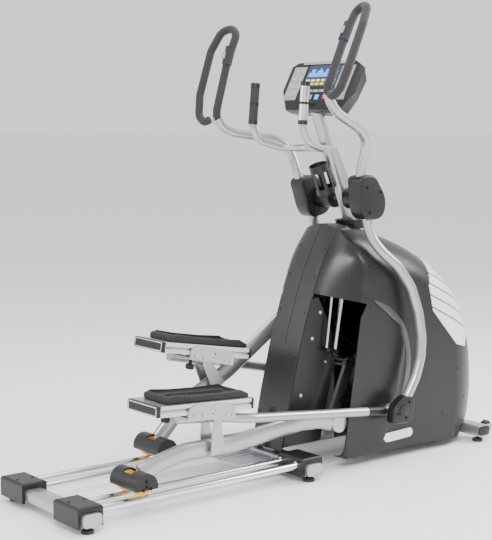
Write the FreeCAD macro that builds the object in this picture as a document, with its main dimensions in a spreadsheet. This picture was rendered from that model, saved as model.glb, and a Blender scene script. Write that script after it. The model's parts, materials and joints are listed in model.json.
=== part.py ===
import FreeCAD, Part
import math
import os
from FreeCAD import Placement, Rotation, Vector

# Elliptical trainer. +X is the way the user faces, +Y the user's left, +Z up, millimetres.
# The origin is on the floor under the middle of the outer box.

SIZES = {
    "rear_bar_pos": -1014, "middle_bar_pos": -15, "front_bar_pos": 970,
    "bar_width": 76, "bar_height": 46, "bar_bottom": 27,
    "rear_bar_length": 560, "middle_bar_length": 530, "front_bar_length": 490,
    "foot_radius": 22, "foot_pad": 14, "stud_radius": 5, "foot_inset": 34,
    "rail_radius": 14, "rail_wall": 2.5, "rail_inner": 132, "rail_outer": 221, "rail_height": 66,
    "cover_length": 100, "cover_width": 136, "cover_top": 96,
    "wheel_radius": 38.7, "wheel_width": 30, "axle_radius": 8, "housing_radius": 46, "housing_wall": 4,
    "housing_inner": 96, "housing_outer": 262,
    "crank_pos": 277, "crank_height": 410, "crank_radius": 240, "crank_turn": 246,
    "arm_length": 965, "arm_mid": 176, "arm_width": 36, "arm_depth": 68,
    "pivot_along": 355, "pivot_above": 165, "pin_radius": 10,
    "link_length": 879, "link_mid": 225, "link_radius": 18,
    "shoulder_pos": 362, "shoulder_height": 1062, "swing_length": 850, "swing_tube": 21,
    "swing_design": 4.93, "axle_bar": 12, "running_gap": 0.05,
    "beam_length": 432, "beam_width": 190, "beam_depth": 40, "beam_inner": 45, "beam_rise": 14,
    "beam_tilt": 3, "beam_rear": -281, "tread_length": 372, "tread_width": 150, "tread_wall": 32,
    "shell_wall": 3.5, "shell_half": 200, "spine_half": 90,
    "mast_radius": 25, "mast_lean": 22.5, "mast_top": 1440,
    "flywheel_pos": 640, "flywheel_height": 300, "flywheel_radius": 140, "flywheel_width": 30,
    "pulley_radius": 130, "small_pulley": 30, "belt_plane": 50, "belt_width": 12, "belt_thick": 3,
    "console_width": 400, "console_tall": 215, "console_deep": 85, "console_tilt": 28,
    "grip_radius": 16, "button_radius": 9, "button_tall": 8,
}

doc = FreeCAD.newDocument("elliptical_trainer")
sheet = doc.addObject("Spreadsheet::Sheet", "Dimensions")
for row, (alias, value) in enumerate(SIZES.items(), start=1):
    sheet.set(f"A{row}", alias)
    sheet.set(f"B{row}", str(value))
    sheet.setAlias(f"B{row}", alias)
doc.recompute()

SEAT = 0.3
NODES = []
SIDES = {"right": -1, "left": 1}
Y_AXIS = Vector(0, 1, 0)
Z_AXIS = Vector(0, 0, 1)


def size(alias):
    """The value of one driving dimension."""
    return float(sheet.get(alias))


def node(obj, label):
    """Name a finished sub-part, which is written to its own file."""
    obj.Label = label
    NODES.append(obj)
    return obj


def feature(label, shape, placement=None):
    """A sub-part whose shape is worked out from the sheet."""
    obj = doc.addObject("Part::Feature", label)
    obj.Shape = shape
    if placement is not None:
        obj.Placement = placement.multiply(shape.Placement)
    return obj


def cylinder(name, radius, length, centre, axis=Y_AXIS):
    """A cylinder about its centre, with its radius and height bound to expressions."""
    obj = doc.addObject("Part::Cylinder", name)
    obj.setExpression("Radius", radius)
    obj.setExpression("Height", length)
    doc.recompute([obj])
    turn = Rotation(Z_AXIS, axis)
    start = centre - turn.multVec(Vector(0, 0, obj.Height.Value / 2))
    obj.Placement = Placement(start, turn)
    return obj


def block(name, length, width, height, corner):
    """A box from its low corner, with its sides bound to expressions."""
    obj = doc.addObject("Part::Box", name)
    obj.setExpression("Length", length)
    obj.setExpression("Width", width)
    obj.setExpression("Height", height)
    obj.Placement = Placement(corner, Rotation())
    doc.recompute([obj])
    return obj


def compound(label, members):
    """Several separate solids in one sub-part."""
    obj = doc.addObject("Part::Compound", label)
    obj.Links = members
    return obj


def fused(label, members):
    """Welded or moulded members as one solid."""
    obj = doc.addObject("Part::MultiFuse", label)
    obj.Shapes = members
    return obj


def cut(label, base, tools):
    """A base with tools taken out of it."""
    tool = tools[0] if len(tools) == 1 else fused(label + "_tools", tools)
    obj = doc.addObject("Part::Cut", label)
    obj.Base = base
    obj.Tool = tool
    return obj


def rounded(name, base, radius, along):
    """Fillet a box's edges that run along one axis."""
    edges = []
    for index, edge in enumerate(base.Shape.Edges, start=1):
        direction = (edge.Vertexes[-1].Point - edge.Vertexes[0].Point).normalize()
        if abs(direction.dot(along)) > 0.99:
            edges.append((index, radius, radius))
    obj = doc.addObject("Part::Fillet", name)
    obj.Base = base
    obj.Edges = edges
    return obj


def padded_body(name, outline, length, placement, plane="XZ_Plane"):
    """A PartDesign body: one closed outline padded by a bound length, both ways from its plane."""
    body = doc.addObject("PartDesign::Body", name)
    sketch = body.newObject("Sketcher::SketchObject", name + "_outline")
    origin = [item for item in body.Origin.OriginFeatures if item.Role == plane][0]
    sketch.AttachmentSupport = (origin, [""])
    sketch.MapMode = "FlatFace"
    for start, end in zip(outline, outline[1:] + outline[:1]):
        sketch.addGeometry(Part.LineSegment(Vector(*start, 0), Vector(*end, 0)), False)
    pad = body.newObject("PartDesign::Pad", name + "_pad")
    pad.Profile = sketch
    pad.setExpression("Length", length)
    pad.Midplane = True
    body.Placement = placement
    doc.recompute()
    return body


def turned_body(name, outline, placement):
    """A PartDesign body turned about its own axis: outline points are (radius, along)."""
    body = doc.addObject("PartDesign::Body", name)
    sketch = body.newObject("Sketcher::SketchObject", name + "_section")
    origin = [item for item in body.Origin.OriginFeatures if item.Role == "XZ_Plane"][0]
    sketch.AttachmentSupport = (origin, [""])
    sketch.MapMode = "FlatFace"
    for start, end in zip(outline, outline[1:] + outline[:1]):
        sketch.addGeometry(Part.LineSegment(Vector(*start, 0), Vector(*end, 0)), False)
    turn = body.newObject("PartDesign::Revolution", name + "_turn")
    turn.Profile = sketch
    turn.ReferenceAxis = (sketch, ["V_Axis"])
    turn.Angle = 360
    body.Placement = placement
    doc.recompute()
    return body


def bent_wire(points, bend):
    """Straight runs joined by tangent arcs through the given corners."""
    edges = []
    last = points[0]
    for before, corner, after in zip(points, points[1:], points[2:]):
        into = corner - before
        out = after - corner
        half = into.getAngle(out) / 2
        back = min(bend * math.tan(half), 0.45 * min(into.Length, out.Length))
        start = corner - Vector(into).normalize() * back
        end = corner + Vector(out).normalize() * back
        bisector = ((start + end) * 0.5 - corner).normalize()
        radius = back / math.tan(half)
        middle = corner + bisector * (radius / math.cos(half) - radius)
        edges.append(Part.LineSegment(last, start).toShape())
        edges.append(Part.Arc(start, middle, end).toShape())
        last = end
    edges.append(Part.LineSegment(last, points[-1]).toShape())
    return Part.Wire(edges)


def rod(points, bend, radius):
    """A round bar along a bent wire."""
    path = bent_wire(points, bend)
    start = path.Edges[0]
    ring = Part.Circle(points[0], start.tangentAt(start.FirstParameter), radius)
    return path.makePipeShell([Part.Wire([ring.toShape()])], True, False)


def plate(outline, low, high):
    """An outline of (x, z) points extruded from one Y to another."""
    wire = Part.makePolygon([Vector(px, low, pz) for px, pz in outline + outline[:1]])
    return Part.Face(wire).extrude(Vector(0, high - low, 0))


def barrel(px, pz, radius, low, high):
    """A cylinder along Y between two Y values."""
    return Part.makeCylinder(radius, high - low, Vector(px, low, pz), Y_AXIS)


def span(side, inner, outer):
    """The low and high Y of a band on one side of the machine."""
    return (inner, outer) if side > 0 else (-outer, -inner)


# ---------------------------------------------------------------- linkage at rest
def circles_meet(first, first_radius, second, second_radius):
    """The lower meeting point of two circles in the XZ plane, given as (x, z) pairs."""
    reach = Vector(second[0] - first[0], 0, second[1] - first[1])
    along = (first_radius ** 2 - second_radius ** 2 + reach.Length ** 2) / (2 * reach.Length)
    up = math.sqrt(first_radius ** 2 - along ** 2)
    unit = Vector(reach).normalize()
    options = []
    for sign in (1, -1):
        options.append((first[0] + unit.x * along - sign * unit.z * up,
                        first[1] + unit.z * along + sign * unit.x * up))
    return min(options, key=lambda spot: spot[1])


WHEEL_HEIGHT = size("rail_height") + size("rail_radius") + size("wheel_radius") + SEAT


def linkage(side):
    """Rest places of one side's roller, pedal pivot and rod end, with the angles of its links."""
    turn = math.radians(size("crank_turn") + (180 if side > 0 else 0))
    pin = (size("crank_pos") + size("crank_radius") * math.cos(turn),
           size("crank_height") + size("crank_radius") * math.sin(turn))
    rise = pin[1] - WHEEL_HEIGHT
    roller = (pin[0] - math.sqrt(size("arm_length") ** 2 - rise ** 2), WHEEL_HEIGHT)
    pitch = math.asin(rise / size("arm_length"))
    along, above = size("pivot_along"), size("pivot_above")
    pivot = (roller[0] + along * math.cos(pitch) - above * math.sin(pitch),
             roller[1] + along * math.sin(pitch) + above * math.cos(pitch))
    shoulder = (size("shoulder_pos"), size("shoulder_height"))
    end = circles_meet(pivot, size("link_length"), shoulder, size("swing_length"))
    slope = math.atan2(end[1] - pivot[1], end[0] - pivot[0])
    swing = math.atan2(end[0] - shoulder[0], shoulder[1] - end[1])
    return {"pin": pin, "roller": roller, "pitch": math.degrees(pitch), "pivot": pivot,
            "slope": math.degrees(slope), "end": end, "swing": math.degrees(swing)}


def at_joint(spot, rise):
    """A placement at an (x, z) spot, turned so that local +X rises by so many degrees."""
    return Placement(Vector(spot[0], 0, spot[1]), Rotation(Y_AXIS, -rise))


LINKS = {name: linkage(side) for name, side in SIDES.items()}


# ---------------------------------------------------------------- base
def bar_centre_z():
    """Height of the crossbars' centre line."""
    return size("bar_bottom") + size("bar_height") / 2


def crossbar(label, place):
    """A rounded steel crossbar under the machine, drilled for its two foot studs."""
    length = size(label + "_bar_length")
    corner = Vector(place - size("bar_width") / 2, -length / 2, size("bar_bottom"))
    box = block(label + "_bar_box", "Dimensions.bar_width", f"Dimensions.{label}_bar_length",
                "Dimensions.bar_height", corner)
    bar = rounded(label + "_bar_round", box, size("bar_height") * 0.35, Y_AXIS)
    holes = []
    for name, side in SIDES.items():
        spot = Vector(place, side * (length / 2 - size("foot_inset")), bar_centre_z())
        holes.append(cylinder(f"{label}_{name}_stud_hole", "Dimensions.stud_radius + 0.3",
                              "Dimensions.bar_height + 4", spot, Z_AXIS))
    return node(cut(label + "_crossbar", bar, holes), label + "_crossbar")


def level_feet(label, place):
    """A pair of levelling feet: a rubber pad on a threaded stud that goes up into the bar."""
    length = size(label + "_bar_length")
    stud_top = size("bar_bottom") + size("bar_height") * 0.7
    members = []
    for name, side in SIDES.items():
        outline = [(0, 0), (size("foot_radius"), 0), (size("foot_radius"), size("foot_pad") * 0.7),
                   (size("foot_radius") - 6, size("foot_pad")), (size("stud_radius"), size("foot_pad")),
                   (size("stud_radius"), stud_top), (0, stud_top)]
        spot = Vector(place, side * (length / 2 - size("foot_inset")), 0)
        members.append(turned_body(f"{label}_{name}_foot", outline, Placement(spot, Rotation())))
    node(compound(label + "_feet", members), label + "_levelling_feet")


def guide_rails():
    """Four steel tubes from the rear bar to the middle bar, a pair under each roller."""
    start = size("rear_bar_pos") + size("bar_width") / 2
    length = size("middle_bar_pos") - size("rear_bar_pos") - size("bar_width")
    sheet_length = "Dimensions.middle_bar_pos - Dimensions.rear_bar_pos - Dimensions.bar_width"
    members = []
    for name, side in SIDES.items():
        for place in ("rail_inner", "rail_outer"):
            centre = Vector(start + length / 2, side * size(place), size("rail_height"))
            outer = cylinder(f"{name}_{place}_skin", "Dimensions.rail_radius", sheet_length, centre,
                             Vector(1, 0, 0))
            inner = cylinder(f"{name}_{place}_hollow", "Dimensions.rail_radius - Dimensions.rail_wall",
                             sheet_length, centre, Vector(1, 0, 0))
            members.append(cut(f"{name}_{place}_rail", outer, [inner]))
    return node(compound("guide_rails", members), "guide_rails")


def saddle_covers(bars, rails):
    """Moulded covers over the ends of the rear and middle bars, cut for the bar and the rails."""
    members = []
    for label in ("rear", "middle"):
        place = size(label + "_bar_pos")
        bar_half = size(label + "_bar_length") / 2
        reach = size("rail_inner") - 24
        for name, side in SIDES.items():
            low, high = span(side, reach, bar_half - 14)
            base = size("bar_bottom") - 3
            box = Part.makeBox(size("cover_length"), high - low, size("cover_top") - base,
                               Vector(place - size("cover_length") / 2, low, base))
            top_edges = [edge for edge in box.Edges if edge.CenterOfMass.z > size("cover_top") - 1]
            solid = box.makeFillet(12, top_edges)
            hollow = Part.makeBox(size("bar_width"), high - low + 20, size("bar_height") + 3,
                                  Vector(place - size("bar_width") / 2, low - 10, base))
            solid = solid.cut(hollow)
            for rail in rails.Shape.Solids:
                box_rail = rail.BoundBox
                axis_spot = Vector(box_rail.XMin, box_rail.Center.y, box_rail.Center.z)
                bore = Part.makeCylinder(size("rail_radius"), box_rail.XLength, axis_spot, Vector(1, 0, 0))
                solid = solid.cut(bore)
            members.append(feature(f"{label}_{name}_saddle", solid))
    node(compound("saddle_covers", members), "saddle_covers")


def track_plate():
    """A ribbed plate between the inner rails, just behind the middle bar."""
    half = size("rail_inner") - size("rail_radius") - 12
    front = size("middle_bar_pos") - size("bar_width") / 2
    base = Part.makeBox(180, 2 * half, 6, Vector(front - 180, -half, size("rail_height") - 8))
    ribs = [Part.makeBox(180, 6, 5, Vector(front - 180, offset - 3, size("rail_height") - 2))
            for offset in range(-90, 91, 30)]
    node(feature("track_plate", base.multiFuse(ribs)), "track_plate")


def transport_wheels():
    """A domed wheel at each end of the front bar, held on a short stub."""
    members = []
    half = size("front_bar_length") / 2
    for name, side in SIDES.items():
        outline = [(6.1, -11), (27, -11), (30, -7), (30, 7), (24, 11), (6.1, 11)]
        spot = Vector(size("front_bar_pos") + 70, side * (half - 52), 48)
        turn = Rotation(Vector(1, 0, 0), 90)
        members.append(turned_body(f"{name}_transport_wheel", outline, Placement(spot, turn)))
    node(compound("transport_wheels", members), "transport_wheels")


def wheel_brackets():
    """Two ears and a stub for each transport wheel, welded to the front of the front bar."""
    half = size("front_bar_length") / 2
    front = size("front_bar_pos") + size("bar_width") / 2
    shapes = []
    for side in SIDES.values():
        mid = side * (half - 52)
        for offset in (-17, 13):
            shapes.append(Part.makeBox(44, 4, 26, Vector(front, mid + offset, 37)))
        shapes.append(barrel(size("front_bar_pos") + 70, 48, 6, mid - 14, mid + 14))
    return shapes


# ---------------------------------------------------------------- frame and mast
def mast_line(height):
    """X of the mast's centre line at a height."""
    lean = math.tan(math.radians(size("mast_lean")))
    return size("shoulder_pos") - lean * (height - size("shoulder_height"))


BEAM_TOP = 82


def main_frame():
    """Floor beam, crank pedestal with its bearing barrel, and the flywheel's bearing plate."""
    start = size("middle_bar_pos") + size("bar_width") / 2
    end = size("front_bar_pos") - size("bar_width") / 2
    beam = Part.makeBox(end - start, 56, BEAM_TOP - 32, Vector(start, -28, 32))
    crank_x, crank_z = size("crank_pos"), size("crank_height")
    pedestal = Part.makeBox(54, 44, crank_z - BEAM_TOP, Vector(crank_x - 27, -22, BEAM_TOP))
    sleeve = barrel(crank_x, crank_z, 30, -42, 42)
    fly_x, fly_z = size("flywheel_pos"), size("flywheel_height")
    cheek = Part.makeBox(70, 8, fly_z + 40 - BEAM_TOP, Vector(fly_x - 35, 27, BEAM_TOP - 2))
    flange = Part.makeBox(70, 35, 8, Vector(fly_x - 35, 0, BEAM_TOP - 2))
    boss = barrel(fly_x, fly_z, 24, 27, 46)
    frame = beam.multiFuse([pedestal, sleeve, cheek, flange, boss])
    frame = frame.cut(barrel(crank_x, crank_z, 15 + size("running_gap"), -60, 60))
    frame = frame.cut(barrel(fly_x, fly_z, 10 + size("running_gap"), 0, 60))
    node(feature("main_frame", frame), "main_frame")


def mast():
    """Leaning mast tube with its widening blade and the fixed cross axle that carries the arms."""
    foot = Vector(mast_line(BEAM_TOP), 0, BEAM_TOP)
    head = Vector(mast_line(size("mast_top")), 0, size("mast_top"))
    radius = size("mast_radius")
    length = (head - foot).Length + 40
    along = Vector(head - foot).normalize()
    post = Part.makeCylinder(radius, length, foot - along * 40, along)
    trim = Part.makeBox(400, 200, 100, Vector(foot.x - 200, -100, BEAM_TOP - 100))
    post = post.cut(trim)
    shoulder = size("shoulder_height")
    blade_line = [(mast_line(1262) + 10, 1262), (mast_line(1262) + radius + 20, 1262),
                  (mast_line(965) + radius + 62, 965), (mast_line(965) + 10, 965)]
    blade = plate(blade_line, -6, 6)
    axle = barrel(size("shoulder_pos"), shoulder, size("axle_bar"), -196, 196)
    body = post.fuse(blade).fuse(axle)
    node(feature("mast", body), "mast")
    return body


# ---------------------------------------------------------------- shroud
def silhouette(inset_front, top_drop, inset_rear, margin):
    """Side outline of the shroud at one distance from its middle, moved inwards by a margin."""
    rear = [(-36, 88), (10, 300), (60, 500), (121, 690), (180, 830), (251, 962)]
    upper = [(393, 948), (649, 855), (807, 759), (922, 660), (988, 565), (1045, 440), (1066, 330),
             (1070, 219), (1052, 110), (1000, 30)]
    lower = [(640, 40), (208, 40)]
    outline = []
    for px, pz in rear:
        outline.append((px + (400 - px) * inset_rear + margin, min(pz, 962 - top_drop * 1.02 - margin)))
    for px, pz in upper:
        share = max(0.0, (px - 208) / 862.0)
        outline.append((px - inset_front * share ** 2 - margin, pz - top_drop * (pz / 962.0) ** 3 - margin))
    for px, pz in lower:
        outline.append((px, pz + margin))
    outline[0] = (outline[0][0], outline[0][1] + margin)
    return outline


def shell_solid(side, margin):
    """One half of the shroud as a filled solid, lofted from the middle outwards."""
    stations = [(0, 0, 0, 0), (size("spine_half"), 40, 24, 0), (135, 80, 56, 0.16),
                (size("shell_half") - margin, 232, 212, 0.52)]
    wires = []
    for out, inset, drop, inset_rear in stations:
        outline = silhouette(inset, drop, inset_rear, margin)
        wires.append(Part.makePolygon([Vector(px, side * out, pz) for px, pz in outline + outline[:1]]))
    return Part.makeLoft(wires, True, True)


def window_outline():
    """Side outline of the opening that a roller arm runs in."""
    return [(-80, 20), (187, 20), (277, 599), (309, 652), (91, 706), (-80, 706)]


def shroud():
    """Two side shells, the spine panel between them, and the ribbed accent panels."""
    wall, half = size("shell_wall"), size("spine_half")
    spine_line = [(-60, 60), (70, 60), (150, 690), (330, 700), (330, 1000), (-60, 1000)]
    spine_zone = plate(spine_line, -half, half)
    opening = Part.makeBox(915, 300, 78, Vector(10, -150, 10))
    bar_gap = Part.makeBox(200, 600, 68, Vector(925, -300, 10))
    mast_gap = Part.makeCylinder(size("mast_radius") + 32, 260, Vector(mast_line(860), 0, 860),
                                 Vector(mast_line(1100) - mast_line(860), 0, 240))
    halves = {}
    for name, side in SIDES.items():
        skin = shell_solid(side, 0).cut(shell_solid(side, wall))
        skin = skin.cut(opening).cut(bar_gap).cut(mast_gap)
        halves[name] = skin
        low, high = span(side, half, 260)
        shell = skin.cut(spine_zone).cut(plate(window_outline(), low, high))
        shell = max(shell.Solids, key=lambda solid: solid.Volume)
        node(feature(name + "_shroud", shell), name + "_shroud")
        patch_line = [(668, 560), (640, 690), (700, 850), (860, 800), (960, 560), (880, 420)]
        low, high = span(side, 62, 260)
        raised = shell_solid(side, -4).cut(shell_solid(side, -SEAT * 3))
        halves[name + "_patch"] = raised.common(plate(patch_line, low, high))
    spine = halves["right"].common(spine_zone).fuse(halves["left"].common(spine_zone)).removeSplitter()
    node(feature("spine_panel", max(spine.Solids, key=lambda solid: solid.Volume)), "spine_panel")
    patches = [max(halves[name + "_patch"].Solids, key=lambda solid: solid.Volume) for name in SIDES]
    node(compound("accents", [feature(f"accent_{index}", patch) for index, patch in enumerate(patches)]),
         "accent_panels")


def inner_covers():
    """Dark guards beside the spine, with two bright stays behind each window."""
    guard_line = [(-28, 106), (12, 300), (62, 500), (119, 676), (150, 682), (215, 560), (236, 420), (165, 106)]
    inner = size("spine_half") + 0.2
    covers = []
    stays = []
    for name, side in SIDES.items():
        low, high = span(side, inner, inner + 4)
        covers.append(feature(name + "_guard", plate(guard_line, low, high)))
        for radius, foot, top in ((5, (176, 480), (205, 700)), (9, (222, 470), (262, 700))):
            start = Vector(foot[0], side * 115, foot[1])
            reach = Vector(top[0] - foot[0], 0, top[1] - foot[1])
            stays.append(feature(f"{name}_stay_{radius}", Part.makeCylinder(radius, reach.Length, start, reach)))
            ear_low, ear_high = span(side, inner + 4, 128)
            tab = Part.makeBox(16, ear_high - ear_low, 12, Vector(foot[0] - 8, ear_low, foot[1] - 13))
            covers[-1].Shape = covers[-1].Shape.fuse(tab)
    node(compound("guards", covers), "inner_guards")
    node(compound("stays", stays), "guide_stays")


# ---------------------------------------------------------------- drive
def drive():
    """Crank axle, pulley and arms, the flywheel with its small pulley, the belt, idler and brake."""
    crank_x, crank_z = size("crank_pos"), size("crank_height")
    centre = Vector(crank_x, 0, crank_z)
    axle = doc.addObject("Part::Cylinder", "crank_axle_bar")
    axle.Radius = 15
    axle.Height = 2 * 146
    axle.Placement = Placement(centre - Vector(0, 146, 0), Rotation(Z_AXIS, Y_AXIS))
    node(axle, "crank_axle")
    arms = []
    for name, side in SIDES.items():
        pin = LINKS[name]["pin"]
        low, high = span(side, 130, 146)
        reach = Vector(pin[0] - crank_x, 0, pin[1] - crank_z)
        web = Part.makeBox(size("crank_radius"), 16, 44, Vector(0, low, -22))
        rise = math.degrees(math.atan2(reach.z, reach.x))
        web.Placement = Placement(centre, Rotation(Y_AXIS, -rise)).multiply(web.Placement)
        stub_low, stub_high = span(side, 130, 155)
        arm = web.multiFuse([barrel(crank_x, crank_z, 26, low, high), barrel(pin[0], pin[1], 22, low, high),
                             barrel(pin[0], pin[1], size("pin_radius"), stub_low, stub_high)])
        arms.append(feature(name + "_crank", arm.cut(barrel(crank_x, crank_z, 15, -200, 200))))
    node(compound("cranks", arms), "crank_arms")
    plane, width, thick = size("belt_plane"), size("belt_width"), size("belt_thick")
    pulley = barrel(crank_x, crank_z, size("pulley_radius"), plane, plane + width)
    for index in range(5):
        angle = math.radians(72 * index)
        reach = size("pulley_radius") * 0.58
        pulley = pulley.cut(barrel(crank_x + reach * math.cos(angle), crank_z + reach * math.sin(angle), 28,
                                   plane - 1, plane + width + 1))
    node(feature("drive_pulley_disc", pulley.cut(barrel(crank_x, crank_z, 15, 0, 100))), "drive_pulley")
    fly_x, fly_z = size("flywheel_pos"), size("flywheel_height")
    disc_low = plane + width + 6
    disc = barrel(fly_x, fly_z, size("flywheel_radius"), disc_low, disc_low + size("flywheel_width"))
    hollow = barrel(fly_x, fly_z, size("flywheel_radius") - 26, disc_low + 20, disc_low + 60)
    wheel = disc.cut(hollow).fuse(barrel(fly_x, fly_z, size("small_pulley"), plane, disc_low))
    wheel = wheel.fuse(barrel(fly_x, fly_z, 10, 27, disc_low))
    node(feature("flywheel_disc", wheel), "flywheel")
    ends = (Vector(crank_x, 0, crank_z), Vector(fly_x, 0, fly_z))
    radii = (size("pulley_radius") + 0.5, size("small_pulley") + 0.5)
    outer = belt_loop(ends, [radius + thick for radius in radii], plane, width)
    node(feature("belt_band", outer.cut(belt_loop(ends, radii, plane, width))), "drive_belt")
    slot = barrel(fly_x, fly_z, size("flywheel_radius") + 4, disc_low - 3, disc_low + size("flywheel_width") + 3)
    brake = Part.makeBox(90, size("flywheel_width") + 26, 50, Vector(fly_x + 70, disc_low - 13, fly_z + 40))
    leg_low = size("mast_radius") + SEAT
    leg = Part.makeBox(150, disc_low - 13 - leg_low, 30, Vector(fly_x, leg_low, fly_z + 52))
    node(feature("brake_block", brake.cut(slot).fuse(leg)), "brake_unit")


def belt_loop(ends, radii, plane, width):
    """The filled outline of a band round two circles."""
    reach = ends[1] - ends[0]
    lean = math.acos((radii[0] - radii[1]) / reach.Length)
    heading = math.atan2(reach.z, reach.x)
    edges = []
    touches = []
    for sign in (1, -1):
        angle = heading + sign * lean
        unit = Vector(math.cos(angle), 0, math.sin(angle))
        touches.append([ends[index] + unit * radii[index] for index in (0, 1)])
    along = Vector(reach).normalize()
    edges.append(Part.LineSegment(touches[0][0], touches[0][1]).toShape())
    edges.append(Part.Arc(touches[0][1], ends[1] + along * radii[1], touches[1][1]).toShape())
    edges.append(Part.LineSegment(touches[1][1], touches[1][0]).toShape())
    edges.append(Part.Arc(touches[1][0], ends[0] - along * radii[0], touches[0][0]).toShape())
    face = Part.Face(Part.Wire(edges))
    face.translate(Vector(0, plane, 0))
    return face.extrude(Vector(0, width, 0))


# ---------------------------------------------------------------- rollers and roller arms
def rollers(name, side):
    """Two wheels on an axle under a moulded housing with closed ends."""
    place = Placement(Vector(LINKS[name]["roller"][0], 0, WHEEL_HEIGHT), Rotation())
    wheels = []
    for rail in ("rail_inner", "rail_outer"):
        half = size("wheel_width") / 2
        bore = size("axle_radius") + size("running_gap")
        radius = size("wheel_radius")
        outline = [(bore, -half), (radius - 4, -half), (radius, -half + 4), (radius, half - 4),
                   (radius - 4, half), (bore, half)]
        spot = place.Base + Vector(0, side * size(rail), 0)
        wheels.append(turned_body(f"{name}_{rail}_wheel", outline, Placement(spot, Rotation(Vector(1, 0, 0), 90))))
    node(compound(name + "_wheels", wheels), name + "_roller_wheels")
    low, high = span(side, size("housing_inner"), size("housing_outer"))
    radius, wall = size("housing_radius"), size("housing_wall")
    shell = barrel(0, 0, radius, low, high).cut(barrel(0, 0, radius - wall, low + wall, high - wall))
    shell = shell.cut(Part.makeBox(200, 400, 100, Vector(-100, -200 + side * 180, -112)))
    arm_low, arm_high = span(side, size("arm_mid") - 26, size("arm_mid") + 26)
    shell = shell.cut(Part.makeBox(80, arm_high - arm_low, 90, Vector(0, arm_low, -30)))
    shell = shell.cut(Part.makeBox(60, arm_high - arm_low, 60, Vector(-26, arm_low, 20)))
    axle = barrel(0, 0, size("axle_radius"), low + wall, high - wall)
    pair = Part.makeCompound([shell, axle])
    node(feature(name + "_housing_shell", pair, place), name + "_roller_housing")


ARM_LINE = [(30, 20), (119, 42), (219, 55), (330, 46), (434, 34), (639, 39), (779, 42), (880, 28), (930, 8)]


def roller_arm(name, side):
    """Flattened arm tube from the roller axle to the crank hub, with the pedal clevis on top."""
    mid = side * size("arm_mid")
    points = [Vector(px, mid, pz) for px, pz in ARM_LINE]
    path = bent_wire(points, 260)
    depth, width = size("arm_depth") / 2, size("arm_width") / 2
    start = path.Edges[0]
    run = start.tangentAt(start.FirstParameter)
    across = Vector(-run.z, 0, run.x)
    oval = Part.Ellipse(points[0] + across * depth, points[0] + Y_AXIS * width, points[0])
    arm = path.makePipeShell([Part.Wire([oval.toShape()])], True, False)
    low, high = span(side, size("arm_mid") - width, size("arm_mid") + width)
    hub = barrel(0, 0, 24, low, high)
    neck = plate([(0, -18), (44, -4), (44, 44), (0, 20)], low + 4, high - 4)
    far_hub = barrel(size("arm_length"), 0, 38, low, high)
    along, above = size("pivot_along"), size("pivot_above")
    ears = []
    for inner, outer in ((138, 144), (208, 214)):
        ear_low, ear_high = span(side, inner, outer)
        line = [(along - 40, 30), (along + 24, 30), (along + 14, above + 8), (along - 14, above + 8)]
        ears.append(plate(line, ear_low, ear_high))
    foot_low, foot_high = span(side, 138, 214)
    base = Part.makeBox(64, foot_high - foot_low, 14, Vector(along - 40, foot_low, 26))
    pin_low, pin_high = span(side, 136, 216)
    pin = barrel(along, above, size("pin_radius"), pin_low, pin_high)
    body = arm.multiFuse([hub, neck, far_hub, base, pin] + ears)
    body = body.cut(barrel(0, 0, size("axle_radius") + size("running_gap"), -300, 300))
    node(feature(name + "_arm_weldment", body, at_joint(LINKS[name]["roller"], LINKS[name]["pitch"])),
         name + "_roller_arm")


# ---------------------------------------------------------------- pedals and connecting arms
def connecting_arm(name, side):
    """Tube from the pedal pivot out past the shroud to the rod end, with the pedal's saddle plates."""
    mid = side * size("arm_mid")
    out = side * size("link_mid")
    radius = size("link_radius")
    length = size("link_length")
    points = [Vector(-150, mid, -12), Vector(40, mid, -10), Vector(130, out, -10), Vector(length - 22, out, -4)]
    body = rod(points, 160, radius)
    low, high = span(side, size("arm_mid") - 28, size("arm_mid") + 28)
    hub = barrel(0, 0, 20, low, high)
    end_low, end_high = span(side, size("link_mid") - radius, size("link_mid") + radius)
    eye = barrel(length, 0, 24, end_low, end_high)
    saddle = Part.makeBox(40, high - low, size("beam_rise") + 4, Vector(-130, low, -8))
    body = body.multiFuse([hub, eye])
    body = body.cut(barrel(0, 0, size("pin_radius") + size("running_gap"), -300, 300))
    return body, saddle


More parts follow.
